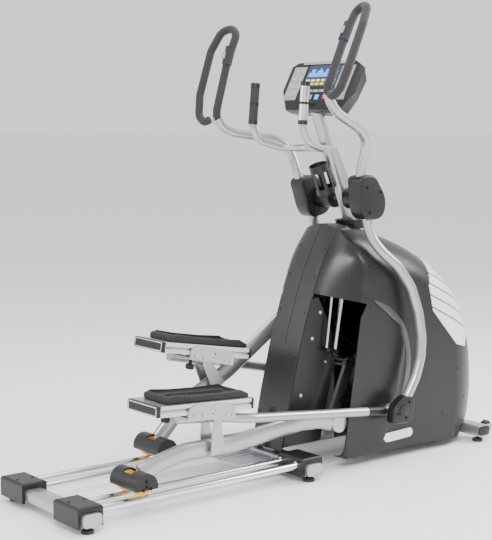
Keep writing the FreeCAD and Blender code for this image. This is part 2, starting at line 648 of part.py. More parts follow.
def pedal(name, side):
    """Aluminium beam with end caps, connecting arm under it, and the moulded footplate on top."""
    place = at_joint(LINKS[name]["pivot"], LINKS[name]["slope"])
    tilt = Placement(Vector(0, 0, 0), Rotation(Y_AXIS, -size("beam_tilt")))
    low, high = span(side, size("beam_inner"), size("beam_inner") + size("beam_width"))
    mid = (low + high) / 2
    rear, rise, deep = size("beam_rear"), size("beam_rise") + 6, size("beam_depth")
    length, width = size("beam_length"), size("beam_width")
    half = width / 2
    section = [(-half, 0), (half, 0), (half, deep * 0.35), (half - 8, deep * 0.5), (half, deep * 0.65),
               (half, deep), (-half, deep), (-half, deep * 0.65), (-half + 8, deep * 0.5), (-half, deep * 0.35)]
    cap = 14
    beam_place = Placement(Vector(rear + length / 2, mid, rise), Rotation())
    beam = padded_body(name + "_beam", section, "Dimensions.beam_length - 28",
                       place.multiply(tilt).multiply(beam_place), "YZ_Plane")
    node(beam, name + "_pedal_beam")
    caps = []
    for start in (rear, rear + length - cap):
        box = Part.makeBox(cap, width, deep, Vector(start, low, rise))
        caps.append(feature(f"{name}_cap_{round(start)}", box.makeFillet(4, box.Edges), place.multiply(tilt)))
    node(compound(name + "_caps", caps), name + "_pedal_end_caps")
    arm, saddle = connecting_arm(name, side)
    beam_box = Part.makeBox(length, width, deep, Vector(rear, low, rise))
    beam_box.Placement = tilt.multiply(beam_box.Placement)
    plates = []
    for inner, outer in ((size("beam_inner") - 6, size("beam_inner")),
                         (size("beam_inner") + width, size("beam_inner") + width + 6)):
        plate_low, plate_high = span(side, inner, outer)
        line = [(-150, -6), (60, -6), (60, 34), (34, 50), (-118, 50), (-150, 34)]
        sheet_metal = plate(line, plate_low, plate_high)
        plates.append(sheet_metal.cut(barrel(-40, 24, 9, -300, 300)))
    floor_low, floor_high = span(side, size("beam_inner") - 6, size("beam_inner") + width + 6)
    floor = Part.makeBox(50, floor_high - floor_low, 6, Vector(-150, floor_low, -6))
    arm = arm.multiFuse([saddle.cut(beam_box), floor] + plates).cut(beam_box)
    arm = max(arm.Solids, key=lambda solid: solid.Volume)
    node(feature(name + "_link", arm, place), name + "_connecting_arm")
    footplate(name, mid, rear + length, rise + deep + SEAT, place.multiply(tilt))
    knob_spot = Vector(-125, side * (size("beam_inner") + 22), -6 - SEAT)
    outline = [(0, 0), (6, 0), (6, -14), (17, -18), (17, -34), (13, -38), (0, -38)]
    knob = turned_body(name + "_knob", outline, place.multiply(Placement(knob_spot, Rotation())))
    node(knob, name + "_pedal_knob")


def footplate(name, mid, front, base, place):
    """Tray with raised side walls and tread ribs; its nose is lower than its heel."""
    length, width, wall = size("tread_length"), size("tread_width"), size("tread_wall")
    start = front - length - 8
    outline = [(0, 0), (length, 0), (length, 16), (length - 40, 30), (30, wall), (0, 20)]
    solid = plate([(px + start, pz + base) for px, pz in outline], mid - width / 2, mid + width / 2)
    tray = Part.makeBox(length - 24, width - 16, wall, Vector(start + 12, mid - width / 2 + 8, base + 7))
    ribs = []
    for index in range(8):
        ribs.append(Part.makeBox(6, width - 30, 4, Vector(start + 36 + index * 38, mid - width / 2 + 15, base + 6)))
    solid = solid.cut(tray).multiFuse(ribs)
    node(feature(name + "_tread", solid, place), name + "_footplate")


# ---------------------------------------------------------------- swing arms
LOWER_TUBE = [(-18, 170, -60), (-24, 172, -95), (-14, 190, -159), (21, 215, -211), (89, 232, -267),
              (151, 245, -353), (185, 255, -458), (199, 262, -560), (190, 266, -641), (160, 268, -720),
              (110, 268, -797), (86, 268, -830)]
UPPER_TUBE = [(-40, 166, 20), (-65, 170, 80), (-66, 178, 133), (-62, 192, 188), (-76, 212, 238),
              (-127, 232, 273), (-202, 256, 303), (-282, 276, 333), (-324, 283, 368), (-341, 281, 408)]
LOOP = [(-341, 281, 410), (-335, 279, 440), (-250, 268, 610), (-184, 258, 712), (-176, 290, 736),
        (-196, 335, 728), (-246, 364, 660), (-330, 379, 500), (-362, 370, 420), (-366, 336, 396),
        (-356, 312, 404)]


def side_points(line, side):
    """Hand-placed centre-line points, mirrored to one side."""
    return [Vector(px, side * py, pz) for px, py, pz in line]


def swing_arm(name, side):
    """Swinging arm: hub on the cross axle, bent tubes below and above, covers, grip and switch."""
    swing = LINKS[name]["swing"] - size("swing_design")
    place = at_joint((size("shoulder_pos"), size("shoulder_height")), swing)
    radius = size("swing_tube")
    low, high = span(side, 42, 190)
    hub = barrel(0, 0, 22, low, high)
    lower, upper = side_points(LOWER_TUBE, side), side_points(UPPER_TUBE, side)
    plug_low, plug_high = span(side, 150, 186)
    web = plate([(-40, -66), (10, -66), (22, 0), (-20, 70), (-66, 62)], plug_low, plug_high)
    arm = hub.multiFuse([web, rod(lower, 140, radius), rod(upper, 110, radius - 2)])
    arm = arm.cut(barrel(0, 0, size("axle_bar") + size("running_gap"), -300, 300))
    node(feature(name + "_tube", arm, place), name + "_swing_arm")
    sleeve = barrel(0, 0, 44, *span(side, 40, 132))
    block_low, block_high = span(side, 126, 203)
    hood = plate([(-92, 88), (-40, 96), (10, 70), (46, 10), (44, -50), (16, -74), (-62, -72), (-84, -30)],
                 block_low, block_high)
    cover = sleeve.fuse(hood).cut(arm)
    cover = cover.cut(barrel(0, 0, size("axle_bar") + SEAT, -300, 300))
    cover = max(cover.Solids, key=lambda solid: solid.Volume)
    node(feature(name + "_hood", cover, place), name + "_shoulder_cover")
    angle = math.radians(size("swing_design"))
    end_x, end_z = size("swing_length") * math.sin(angle), -size("swing_length") * math.cos(angle)
    boot_low, boot_high = span(side, 247, 292)
    boot = plate([(end_x - 54, end_z - 40), (end_x + 50, end_z - 46), (end_x + 62, end_z + 10),
                  (end_x + 64, end_z + 56), (end_x + 8, end_z + 62), (end_x - 48, end_z + 20)],
                 boot_low, boot_high).cut(arm)
    boot = max(boot.Solids, key=lambda solid: solid.Volume)
    node(feature(name + "_boot", boot, place), name + "_lower_joint_cover")
    loop = side_points(LOOP, side)
    grip = rod(loop, 46, size("grip_radius"))
    pod_spot = Vector(-238, side * 268, 636)
    pod = Part.makeCylinder(20, 74, pod_spot - Vector(16, 0, 32), Vector(0.47, -side * 0.06, 0.88))
    grip = grip.fuse(pod).cut(arm)
    pad_turn = Rotation(Y_AXIS, 28)
    face = Placement(pod_spot + Vector(-19, 0, 8), pad_turn)
    key_zone = Part.makeBox(16, 14, 34, Vector(-8, -7, -17))
    key_zone.Placement = face.multiply(key_zone.Placement)
    key = Part.makeBox(10, 13.4, 30, Vector(-7, -6.7, -15))
    key = key.makeFillet(3, key.Edges)
    key.Placement = face.multiply(key.Placement)
    node(feature(name + "_loop", grip.cut(key_zone), place), name + "_handle_grip")
    node(feature(name + "_key", key, place), name + "_grip_switch")


# ---------------------------------------------------------------- console and fixed bar
def console():
    """Tapered console on the mast head, with its screen and two round buttons."""
    width, tall, deep = size("console_width"), size("console_tall"), size("console_deep")
    head = Vector(mast_line(size("mast_top")), 0, size("mast_top"))
    place = Placement(head + Vector(56, 0, 48), Rotation(Y_AXIS, size("console_tilt")))
    back = [(-width * 0.33, -tall * 0.42), (width * 0.33, -tall * 0.42), (width * 0.4, tall * 0.4),
            (-width * 0.4, tall * 0.4)]
    front = [(-width * 0.34, -tall / 2), (width * 0.34, -tall / 2), (width / 2, -tall * 0.1),
             (width / 2, tall * 0.42), (width * 0.42, tall / 2), (-width * 0.42, tall / 2),
             (-width / 2, tall * 0.42), (-width / 2, -tall * 0.1)]
    back = [back[0], back[1], (width * 0.4, -tall * 0.1), (width * 0.42, tall * 0.3), (width * 0.38, tall * 0.42),
            (-width * 0.38, tall * 0.42), (-width * 0.42, tall * 0.3), (-width * 0.4, -tall * 0.1)]
    wires = []
    for depth, line in ((-deep / 2, front), (-deep / 2 + 26, front), (deep / 2, back)):
        wires.append(Part.makePolygon([Vector(depth, py, pz) for py, pz in line + line[:1]]))
    shell = Part.makeLoft(wires, True, True)
    screen_box = (8, width * 0.5, tall * 0.46)
    recess = Part.makeBox(*screen_box, Vector(-deep / 2, -screen_box[1] / 2, -2))
    shell = shell.cut(recess)
    buttons = {"stop_button": -64, "start_button": 64}
    for offset in buttons.values():
        shell = shell.cut(Part.makeCylinder(size("button_radius") + 0.5, 12,
                                            Vector(-deep / 2, offset, -tall * 0.24), Vector(1, 0, 0)))
    shell.Placement = place
    low = Vector(mast_line(1000), 0, 1000)
    post = Part.makeCylinder(size("mast_radius"), (head - low).Length, low, head - low)
    shell = max(shell.cut(post).Solids, key=lambda solid: solid.Volume)
    node(feature("console_housing", shell), "console_housing")
    glass = Part.makeBox(5, screen_box[1], screen_box[2], Vector(-deep / 2 + 3, -screen_box[1] / 2, -2))
    node(feature("screen_pane", glass, place), "console_screen")
    for label, offset in buttons.items():
        cap = Part.makeCylinder(size("button_radius"), size("button_tall"),
                                Vector(-deep / 2 - 3, offset, -tall * 0.24), Vector(1, 0, 0))
        node(feature(label + "_cap", cap.makeFillet(1.2, [cap.Edges[2]]), place), label)


def fixed_bar():
    """U-shaped fixed handlebar that passes behind the mast, with a pulse grip on each upright."""
    height = 1262
    rear = mast_line(height) - (size("mast_radius") + 14 + SEAT) / math.cos(math.radians(size("mast_lean")))
    half_line = [(28, 150, 1500), (14, 150, 1345), (44, 146, 1288), (140, 122, height), (rear, 62, height)]
    right = [Vector(px, -py, pz) for px, py, pz in half_line]
    left = [Vector(px, py, pz) for px, py, pz in reversed(half_line)]
    bar = rod(right + left, 70, 14)
    node(feature("fixed_bar", bar), "fixed_handlebar")
    grips = []
    for name, side in SIDES.items():
        start = Vector(15, side * 150, 1356)
        top = Vector(28, side * 150, 1500)
        along = Vector(top - start).normalize()
        grip = Part.makeCylinder(18, (top - start).Length + 16, start, along).cut(bar)
        grips.append(feature(name + "_pulse", max(grip.Solids, key=lambda solid: solid.Volume)))
    node(compound("pulse", grips), "pulse_grips")


def bottle_cage():
    """Open ring cage on the rear of the mast, leaning with it."""
    radius, tall, strap_gap, height = 38, 122, 10, 1112
    lean = math.radians(size("mast_lean"))
    reach = size("mast_radius") + radius + strap_gap
    base = Vector(mast_line(height) - reach * math.cos(lean), 0, height - reach * math.sin(lean))
    place = Placement(base, Rotation(Y_AXIS, -size("mast_lean")))
    cup = Part.makeCylinder(radius, tall)
    cup = cup.cut(Part.makeCylinder(radius - 3, tall, Vector(0, 0, 3)))
    for turn in range(0, 360, 60):
        window = Part.makeBox(60, 24, 70, Vector(0, -12, 0))
        window.Placement = Placement(Vector(0, 0, 24), Rotation(Z_AXIS, turn + 30))
        cup = cup.cut(window)
    strap = Part.makeBox(strap_gap + 12, 16, 16, Vector(radius - 3, -8, 4))
    post = Part.makeCylinder(size("mast_radius") + SEAT, 300, Vector(reach, 0, -100))
    body = max(cup.fuse(strap).cut(post).Solids, key=lambda solid: solid.Volume)
    node(feature("bottle_cage_ring", body, place), "bottle_cage")


def mast_boot(mast_body):
    """Low moulded ring where the mast leaves the shroud."""
    low = mast_line(940)
    axis = Vector(mast_line(1100) - low, 0, 160)
    ring = Part.makeCylinder(size("mast_radius") + 32 - SEAT, 300, Vector(mast_line(860), 0, 860), axis)
    ring = ring.cut(Part.makeCylinder(size("mast_radius") + 24, 300, Vector(mast_line(860), 0, 860), axis))
    keep = Part.makeBox(300, 300, 36, Vector(low - 150, -150, 936))
    ring = max(ring.common(keep).cut(mast_body).Solids, key=lambda solid: solid.Volume)
    node(feature("mast_boot_ring", ring), "mast_boot")


def build():
    """Make every sub-part in the order of assembly."""
    bars = {}
    for label in ("rear", "middle"):
        bars[label] = crossbar(label, size(label + "_bar_pos"))
    length = size("front_bar_length")
    box = block("front_bar_box", "Dimensions.bar_width", "Dimensions.front_bar_length",
                "Dimensions.bar_height",
                Vector(size("front_bar_pos") - size("bar_width") / 2, -length / 2, size("bar_bottom")))
    bar = rounded("front_bar_round", box, size("bar_height") * 0.35, Y_AXIS)
    brackets = [feature(f"wheel_bracket_{index}", shape) for index, shape in enumerate(wheel_brackets())]
    holes = []
    for name, side in SIDES.items():
        spot = Vector(size("front_bar_pos"), side * (length / 2 - size("foot_inset")), bar_centre_z())
        holes.append(cylinder(f"front_{name}_stud_hole", "Dimensions.stud_radius + 0.3",
                              "Dimensions.bar_height + 4", spot, Z_AXIS))
    node(cut("front_crossbar", fused("front_bar_weldment", [bar] + brackets), holes), "front_crossbar")
    doc.recompute()
    rails = guide_rails()
    doc.recompute()
    saddle_covers(bars, rails)
    track_plate()
    transport_wheels()
    for label in ("rear", "middle", "front"):
        level_feet(label, size(label + "_bar_pos"))
    main_frame()
    mast_body = mast()
    shroud()
    inner_covers()
    mast_boot(mast_body)
    drive()
    for name, side in SIDES.items():
        rollers(name, side)
        roller_arm(name, side)
        pedal(name, side)
        swing_arm(name, side)
    console()
    fixed_bar()
    bottle_cage()


def write():
    """Check every object and write each sub-part to its own file."""
    doc.recompute()
    for obj in doc.Objects:
        if "Invalid" in obj.State or "Error" in obj.State:
            raise RuntimeError(f"{obj.Label} did not build")
    os.makedirs("parts", exist_ok=True)
    for obj in NODES:
        if obj.Shape.isNull() or not obj.Shape.isValid():
            raise RuntimeError(f"{obj.Label} is not a valid shape")
    for obj in NODES:
        obj.Shape.exportStep(f"parts/{obj.Label}.step")
    print(len(NODES), "sub-parts")
    for name, link in LINKS.items():
        print(name, {key: value for key, value in link.items()})


build()
write()
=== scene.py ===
"""Looks of an elliptical trainer: finishes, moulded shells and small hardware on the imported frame."""

import json
import logging
import math
from dataclasses import dataclass, field
from enum import Enum

import bmesh
import bpy
from mathutils import Matrix, Vector

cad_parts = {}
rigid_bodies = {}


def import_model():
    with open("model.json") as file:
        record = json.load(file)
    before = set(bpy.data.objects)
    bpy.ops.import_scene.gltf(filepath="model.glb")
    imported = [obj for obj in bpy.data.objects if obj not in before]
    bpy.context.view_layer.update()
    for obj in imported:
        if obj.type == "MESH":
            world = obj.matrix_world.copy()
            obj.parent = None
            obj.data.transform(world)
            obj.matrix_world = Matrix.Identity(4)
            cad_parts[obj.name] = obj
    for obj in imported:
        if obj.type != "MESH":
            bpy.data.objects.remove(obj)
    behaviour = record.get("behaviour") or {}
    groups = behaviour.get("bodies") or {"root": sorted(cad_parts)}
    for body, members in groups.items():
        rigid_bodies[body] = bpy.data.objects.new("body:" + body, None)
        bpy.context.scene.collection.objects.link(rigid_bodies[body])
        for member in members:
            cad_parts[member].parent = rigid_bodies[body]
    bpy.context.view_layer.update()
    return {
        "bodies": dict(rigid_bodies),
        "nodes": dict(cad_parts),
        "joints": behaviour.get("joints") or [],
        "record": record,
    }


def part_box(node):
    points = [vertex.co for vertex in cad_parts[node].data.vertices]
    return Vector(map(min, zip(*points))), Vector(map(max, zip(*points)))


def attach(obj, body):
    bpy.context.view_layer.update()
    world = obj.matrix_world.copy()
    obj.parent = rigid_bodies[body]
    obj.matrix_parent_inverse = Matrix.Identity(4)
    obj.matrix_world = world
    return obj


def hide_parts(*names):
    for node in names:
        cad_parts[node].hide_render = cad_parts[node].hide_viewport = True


LOG = logging.getLogger("elliptical_trainer")
MM = 0.001
SIDES = {"right": -1, "left": 1}


class Grain(Enum):
    """How a surface is broken up at close range."""

    ORANGE_PEEL = "orange peel"
    SPARK = "spark-eroded mould texture"
    BRUSHED = "brushed along X"
    FOAM = "closed foam pores"
    RIBBED = "fine moulded ribs"
    SMOOTH = "polished"


@dataclass(frozen=True)
class Finish:
    """One real finish, as the settings of a procedural material."""

    name: str
    colour: tuple[float, float, float]
    roughness: float
    metallic: float = 0.0
    grain: Grain = Grain.SMOOTH
    scale: float = 400.0
    bump: float = 0.1
    shade: float = 0.12
    coat: float = 0.0
    sheen: float = 0.0
    glow: float = 0.0
    specular: float = 0.5

    def material(self) -> bpy.types.Material:
        """Build the material once, and return it.

        Returns:
            The material, named after this finish and apart from the frame's own slots.
        """
        label = "finish_" + self.name
        known = bpy.data.materials.get(label)
        if known is not None:
            return known
        made = bpy.data.materials.new(label)
        made.use_nodes = True
        tree = made.node_tree
        shader = tree.nodes["Principled BSDF"]
        shader.inputs["Metallic"].default_value = self.metallic
        shader.inputs["Specular IOR Level"].default_value = self.specular
        shader.inputs["Coat Weight"].default_value = self.coat
        shader.inputs["Coat Roughness"].default_value = 0.12
        shader.inputs["Sheen Weight"].default_value = self.sheen
        if self.glow > 0:
            shader.inputs["Emission Color"].default_value = (*self.colour, 1)
            shader.inputs["Emission Strength"].default_value = self.glow
        coords = tree.nodes.new("ShaderNodeTexCoord")
        stretch = tree.nodes.new("ShaderNodeMapping")
        tree.links.new(coords.outputs["Object"], stretch.inputs["Vector"])
        if self.grain is Grain.BRUSHED:
            stretch.inputs["Scale"].default_value = (0.04, 1, 1)
        cloud = tree.nodes.new("ShaderNodeTexNoise")
        cloud.inputs["Scale"].default_value = 9
        cloud.inputs["Detail"].default_value = 4
        tree.links.new(coords.outputs["Object"], cloud.inputs["Vector"])
        self._paint(tree, shader, cloud)
        self._wear(tree, shader, cloud)
        self._relief(tree, shader, stretch)
        return made

    def _paint(self, tree: bpy.types.NodeTree, shader: bpy.types.Node, cloud: bpy.types.Node) -> None:
        """Vary the colour a little over the surface."""
        ramp = tree.nodes.new("ShaderNodeValToRGB")
        low = [channel * (1 - self.shade) for channel in self.colour]
        high = [min(1.0, channel * (1 + self.shade)) for channel in self.colour]
        ramp.color_ramp.elements[0].position = 0.3
        ramp.color_ramp.elements[0].color = (*low, 1)
        ramp.color_ramp.elements[1].position = 0.7
        ramp.color_ramp.elements[1].color = (*high, 1)
        tree.links.new(cloud.outputs["Fac"], ramp.inputs["Fac"])
        tree.links.new(ramp.outputs["Color"], shader.inputs["Base Color"])

    def _wear(self, tree: bpy.types.NodeTree, shader: bpy.types.Node, cloud: bpy.types.Node) -> None:
        """Vary the roughness, as handling and dust do."""
        spread = tree.nodes.new("ShaderNodeMapRange")
        spread.inputs["To Min"].default_value = self.roughness * 0.82
        spread.inputs["To Max"].default_value = min(1.0, self.roughness * 1.2)
        tree.links.new(cloud.outputs["Fac"], spread.inputs["Value"])
        tree.links.new(spread.outputs["Result"], shader.inputs["Roughness"])

    def _relief(self, tree: bpy.types.NodeTree, shader: bpy.types.Node, stretch: bpy.types.Node) -> None:
        """Add the close-range grain as bump."""
        if self.grain is Grain.SMOOTH:
            return
        if self.grain is Grain.FOAM:
            grain = tree.nodes.new("ShaderNodeTexVoronoi")
            height = grain.outputs["Distance"]
        elif self.grain is Grain.RIBBED:
            grain = tree.nodes.new("ShaderNodeTexWave")
            grain.bands_direction = "Z"
            height = grain.outputs["Fac"]
        else:
            grain = tree.nodes.new("ShaderNodeTexNoise")
            grain.inputs["Detail"].default_value = 3
            height = grain.outputs["Fac"]
        grain.inputs["Scale"].default_value = self.scale
        tree.links.new(stretch.outputs["Vector"], grain.inputs["Vector"])
        bump = tree.nodes.new("ShaderNodeBump")
        bump.inputs["Strength"].default_value = self.bump
        bump.inputs["Distance"].default_value = 0.001
        tree.links.new(height, bump.inputs["Height"])
        tree.links.new(bump.outputs["Normal"], shader.inputs["Normal"])


SILVER = Finish("silver_enamel", (0.4, 0.41, 0.43), 0.3, 0.75, Grain.ORANGE_PEEL, 350, 0.05, 0.04, 0.5)
CHROME = Finish("polished_rail", (0.78, 0.79, 0.81), 0.14, 1.0, Grain.BRUSHED, 900, 0.04, 0.04)
SHELL = Finish("charcoal_shell", (0.012, 0.0102, 0.0096), 0.3, 0.0, Grain.SPARK, 900, 0.1, 0.1, specular=0.36)
SPINE = Finish("spine_shell", (0.02, 0.017, 0.016), 0.32, 0.0, Grain.SPARK, 900, 0.1, 0.08, specular=0.42)
MOULDED = Finish("dark_moulding", (0.01, 0.0095, 0.01), 0.38, 0.0, Grain.SPARK, 800, 0.12, 0.12,
                 specular=0.36)
ACCENT = Finish("pearl_accent", (0.8, 0.81, 0.83), 0.3, 0.2, Grain.RIBBED, 16, 0.7, 0.04, 0.3)
EXTRUSION = Finish("brushed_extrusion", (0.6, 0.61, 0.63), 0.3, 0.95, Grain.BRUSHED, 1200, 0.12, 0.06)
TREAD = Finish("tread_rubber", (0.013, 0.013, 0.014), 0.55, 0.0, Grain.SPARK, 500, 0.25, 0.12, specular=0.34)
FOAM = Finish("grip_foam", (0.018, 0.0165, 0.02), 0.68, 0.0, Grain.FOAM, 900, 0.3, 0.14, 0.0, 0.1,
              specular=0.34)
URETHANE = Finish("amber_urethane", (0.86, 0.4, 0.03), 0.34, 0.0, Grain.ORANGE_PEEL, 300, 0.06, 0.06, 0.2)
RUBBER = Finish("foot_rubber", (0.018, 0.018, 0.019), 0.7, 0.0, Grain.SPARK, 600, 0.3, 0.15)
STEEL = Finish("machined_steel", (0.5, 0.5, 0.52), 0.28, 1.0, Grain.BRUSHED, 900, 0.1, 0.06)
BELT = Finish("belt_rubber", (0.016, 0.016, 0.017), 0.66, 0.0, Grain.RIBBED, 90, 0.3, 0.1)
GLASS = Finish("screen_glass", (0.012, 0.02, 0.045), 0.08, 0.0, Grain.SMOOTH, coat=0.6)
CRESCENT = Finish("crescent_inlay", (0.075, 0.068, 0.065), 0.3, 0.2, Grain.SPARK, 900, 0.08, 0.08)
SCREW = Finish("black_screw", (0.012, 0.012, 0.013), 0.35, 0.6, Grain.ORANGE_PEEL, 900, 0.1)
PALE = Finish("badge_white", (0.8, 0.8, 0.8), 0.3, 0.0, Grain.ORANGE_PEEL, 300, 0.03, 0.02, 0.4)
GREEN = Finish("green_key", (0.03, 0.5, 0.14), 0.25, glow=0.4)
RED = Finish("red_key", (0.6, 0.03, 0.03), 0.25, glow=0.3)
GREY = Finish("grey_key", (0.3, 0.31, 0.33), 0.4, 0.2, Grain.SPARK, 800, 0.1)
BLUE_GLOW = Finish("blue_segments", (0.05, 0.22, 0.95), 0.3, glow=1.6)
LIME_GLOW = Finish("lime_segments", (0.5, 0.75, 0.08), 0.3, glow=1.1)
AMBER_GLOW = Finish("amber_segments", (0.9, 0.45, 0.05), 0.3, glow=1.1)
FLOOR = Finish("pale_floor", (0.93, 0.93, 0.93), 0.55, 0.0, Grain.ORANGE_PEEL, 40, 0.02, 0.01)

NODE_FINISHES = {
    SILVER: ("rear_crossbar", "middle_crossbar", "front_crossbar", "main_frame", "mast", "fixed_handlebar",
             "right_roller_arm", "left_roller_arm", "right_connecting_arm", "left_connecting_arm",
             "right_swing_arm", "left_swing_arm"),
    CHROME: ("guide_rails", "guide_stays"),
    SHELL: ("right_shroud", "left_shroud", "mast_boot"),
    SPINE: ("spine_panel",),
    MOULDED: ("saddle_covers", "inner_guards", "console_housing", "bottle_cage", "right_roller_housing",
              "left_roller_housing", "right_shoulder_cover", "left_shoulder_cover", "right_lower_joint_cover",
              "left_lower_joint_cover", "right_pedal_end_caps", "left_pedal_end_caps", "right_pedal_knob",
              "left_pedal_knob", "drive_pulley", "transport_wheels"),
    ACCENT: ("accent_panels",),
    EXTRUSION: ("track_plate", "right_pedal_beam", "left_pedal_beam", "brake_unit"),
    TREAD: ("right_footplate", "left_footplate"),
    FOAM: ("right_handle_grip", "left_handle_grip", "pulse_grips"),
    URETHANE: ("right_roller_wheels", "left_roller_wheels"),
    RUBBER: ("rear_levelling_feet", "middle_levelling_feet", "front_levelling_feet"),
    STEEL: ("crank_axle", "crank_arms", "flywheel"),
    BELT: ("drive_belt",),
    GLASS: ("console_screen",),
    GREEN: ("start_button",),
    RED: ("stop_button",),
    GREY: ("right_grip_switch", "left_grip_switch"),
}


# ---------------------------------------------------------------- mesh helpers
def dress(obj: bpy.types.Object, finish: Finish) -> bpy.types.Object:
    """Give an object one finish.

    Args:
        obj: The object to dress.
        finish: The finish it takes.

    Returns:
        The same object.
    """
    obj.data.materials.clear()
    obj.data.materials.append(finish.material())
    return obj


def solid(name: str, verts: list, faces: list, finish: Finish, crease: float = 32.0) -> bpy.types.Object:
    """Make a closed mesh object with its faces outwards and its sharp edges marked.

    Args:
        name: The object's name.
        verts: Corner points in metres.
        faces: Corner indices of each face.
        finish: The finish it takes.
        crease: Angle in degrees past which an edge shows as sharp.

    Returns:
        The new object.
    """
    mesh = bpy.data.meshes.new(name)
    mesh.from_pydata([tuple(point) for point in verts], [], faces)
    work = bmesh.new()
    work.from_mesh(mesh)
    bmesh.ops.remove_doubles(work, verts=work.verts, dist=1e-6)
    bmesh.ops.recalc_face_normals(work, faces=work.faces)
    work.to_mesh(mesh)
    work.free()
    obj = bpy.data.objects.new(name, mesh)
    bpy.context.scene.collection.objects.link(obj)
    dress(obj, finish)
    soften(obj, crease)
    return obj


def soften(obj: bpy.types.Object, crease: float) -> None:
    """Shade a mesh smooth up to an angle."""
    for face in obj.data.polygons:
        face.use_smooth = True
    obj.data.set_sharp_from_angle(angle=math.radians(crease))


def baked(obj: bpy.types.Object) -> bpy.types.Object:
    """Apply an object's modifiers to its mesh.

    Args:
        obj: An object with live modifiers.

    Returns:
        The same object, with a plain mesh and no modifiers.
    """
    graph = bpy.context.evaluated_depsgraph_get()
    mesh = bpy.data.meshes.new_from_object(obj.evaluated_get(graph))
    obj.modifiers.clear()
    obj.data = mesh
    return obj


def carve(obj: bpy.types.Object, cutter: bpy.types.Object, operation: str = "DIFFERENCE") -> None:
    """Cut one solid with another, and throw the cutter away."""
    step = obj.modifiers.new("carve", "BOOLEAN")
    step.object = cutter
    step.operation = operation
    step.solver = "EXACT"
    baked(obj)
    bpy.data.objects.remove(cutter)


def rounded(obj: bpy.types.Object, width: float, segments: int = 3) -> bpy.types.Object:
    """Bevel an object's edges and bake it."""
    step = obj.modifiers.new("round", "BEVEL")
    step.width = width
    step.segments = segments
    step.limit_method = "ANGLE"
    baked(obj)
    soften(obj, 40)
    return obj


def prism(name: str, outline: list, low: float, high: float, finish: Finish) -> bpy.types.Object:
    """Extrude an (x, z) outline in millimetres between two Y values in metres.

    Args:
        name: The object's name.
        outline: Corner points of the outline.
        low: Y of one end.
        high: Y of the other end.
        finish: The finish it takes.

    Returns:
        The new object.
    """
    count = len(outline)
    verts = [(px * MM, py, pz * MM) for py in (low, high) for px, pz in outline]
    faces = [list(range(count)), list(range(2 * count - 1, count - 1, -1))]
    for index in range(count):
        after = (index + 1) % count
        faces.append([index, after, after + count, index + count])
    return solid(name, verts, faces, finish)


def placed_box(name: str, size: tuple, centre: tuple, frame: Matrix, finish: Finish,
               edge: float = 0.0) -> bpy.types.Object:
    """A box in a local frame, with its edges rounded.

    Args:
        name: The object's name.
        size: Its three sides in metres.
        centre: Its centre in the local frame.
        frame: The local frame.
        finish: The finish it takes.
        edge: Radius of its edges, or 0 for a small default.

    Returns:
        The new object.
    """
    half = [side / 2 for side in size]
    verts = []
    for sx in (-1, 1):
        for sy in (-1, 1):
            for sz in (-1, 1):
                reach = Vector((sx * half[0], sy * half[1], sz * half[2]))
                verts.append(frame @ (Vector(centre) + reach))
    faces = [[0, 1, 3, 2], [4, 6, 7, 5], [0, 4, 5, 1], [2, 3, 7, 6], [0, 2, 6, 4], [1, 5, 7, 3]]
    return rounded(solid(name, verts, faces, finish), edge or min(size) * 0.22)


def pipe(name: str, points: list, radius: float, finish: Finish, sides: int = 16) -> bpy.types.Object:
    """A round bar through points, closed at both ends."""
    curve = bpy.data.curves.new(name, "CURVE")
    curve.dimensions = "3D"
    curve.bevel_depth = radius
    curve.bevel_resolution = sides // 4
    curve.use_fill_caps = True
    line = curve.splines.new("POLY")
    line.points.add(len(points) - 1)
    for point, place in zip(line.points, points):
        point.co = (*place, 1)
    carrier = bpy.data.objects.new(name, curve)
    bpy.context.scene.collection.objects.link(carrier)
    mesh = bpy.data.meshes.new_from_object(carrier.evaluated_get(bpy.context.evaluated_depsgraph_get()))
    bpy.data.objects.remove(carrier)
    obj = bpy.data.objects.new(name, mesh)
    bpy.context.scene.collection.objects.link(obj)
    dress(obj, finish)
    soften(obj, 40)
    return obj


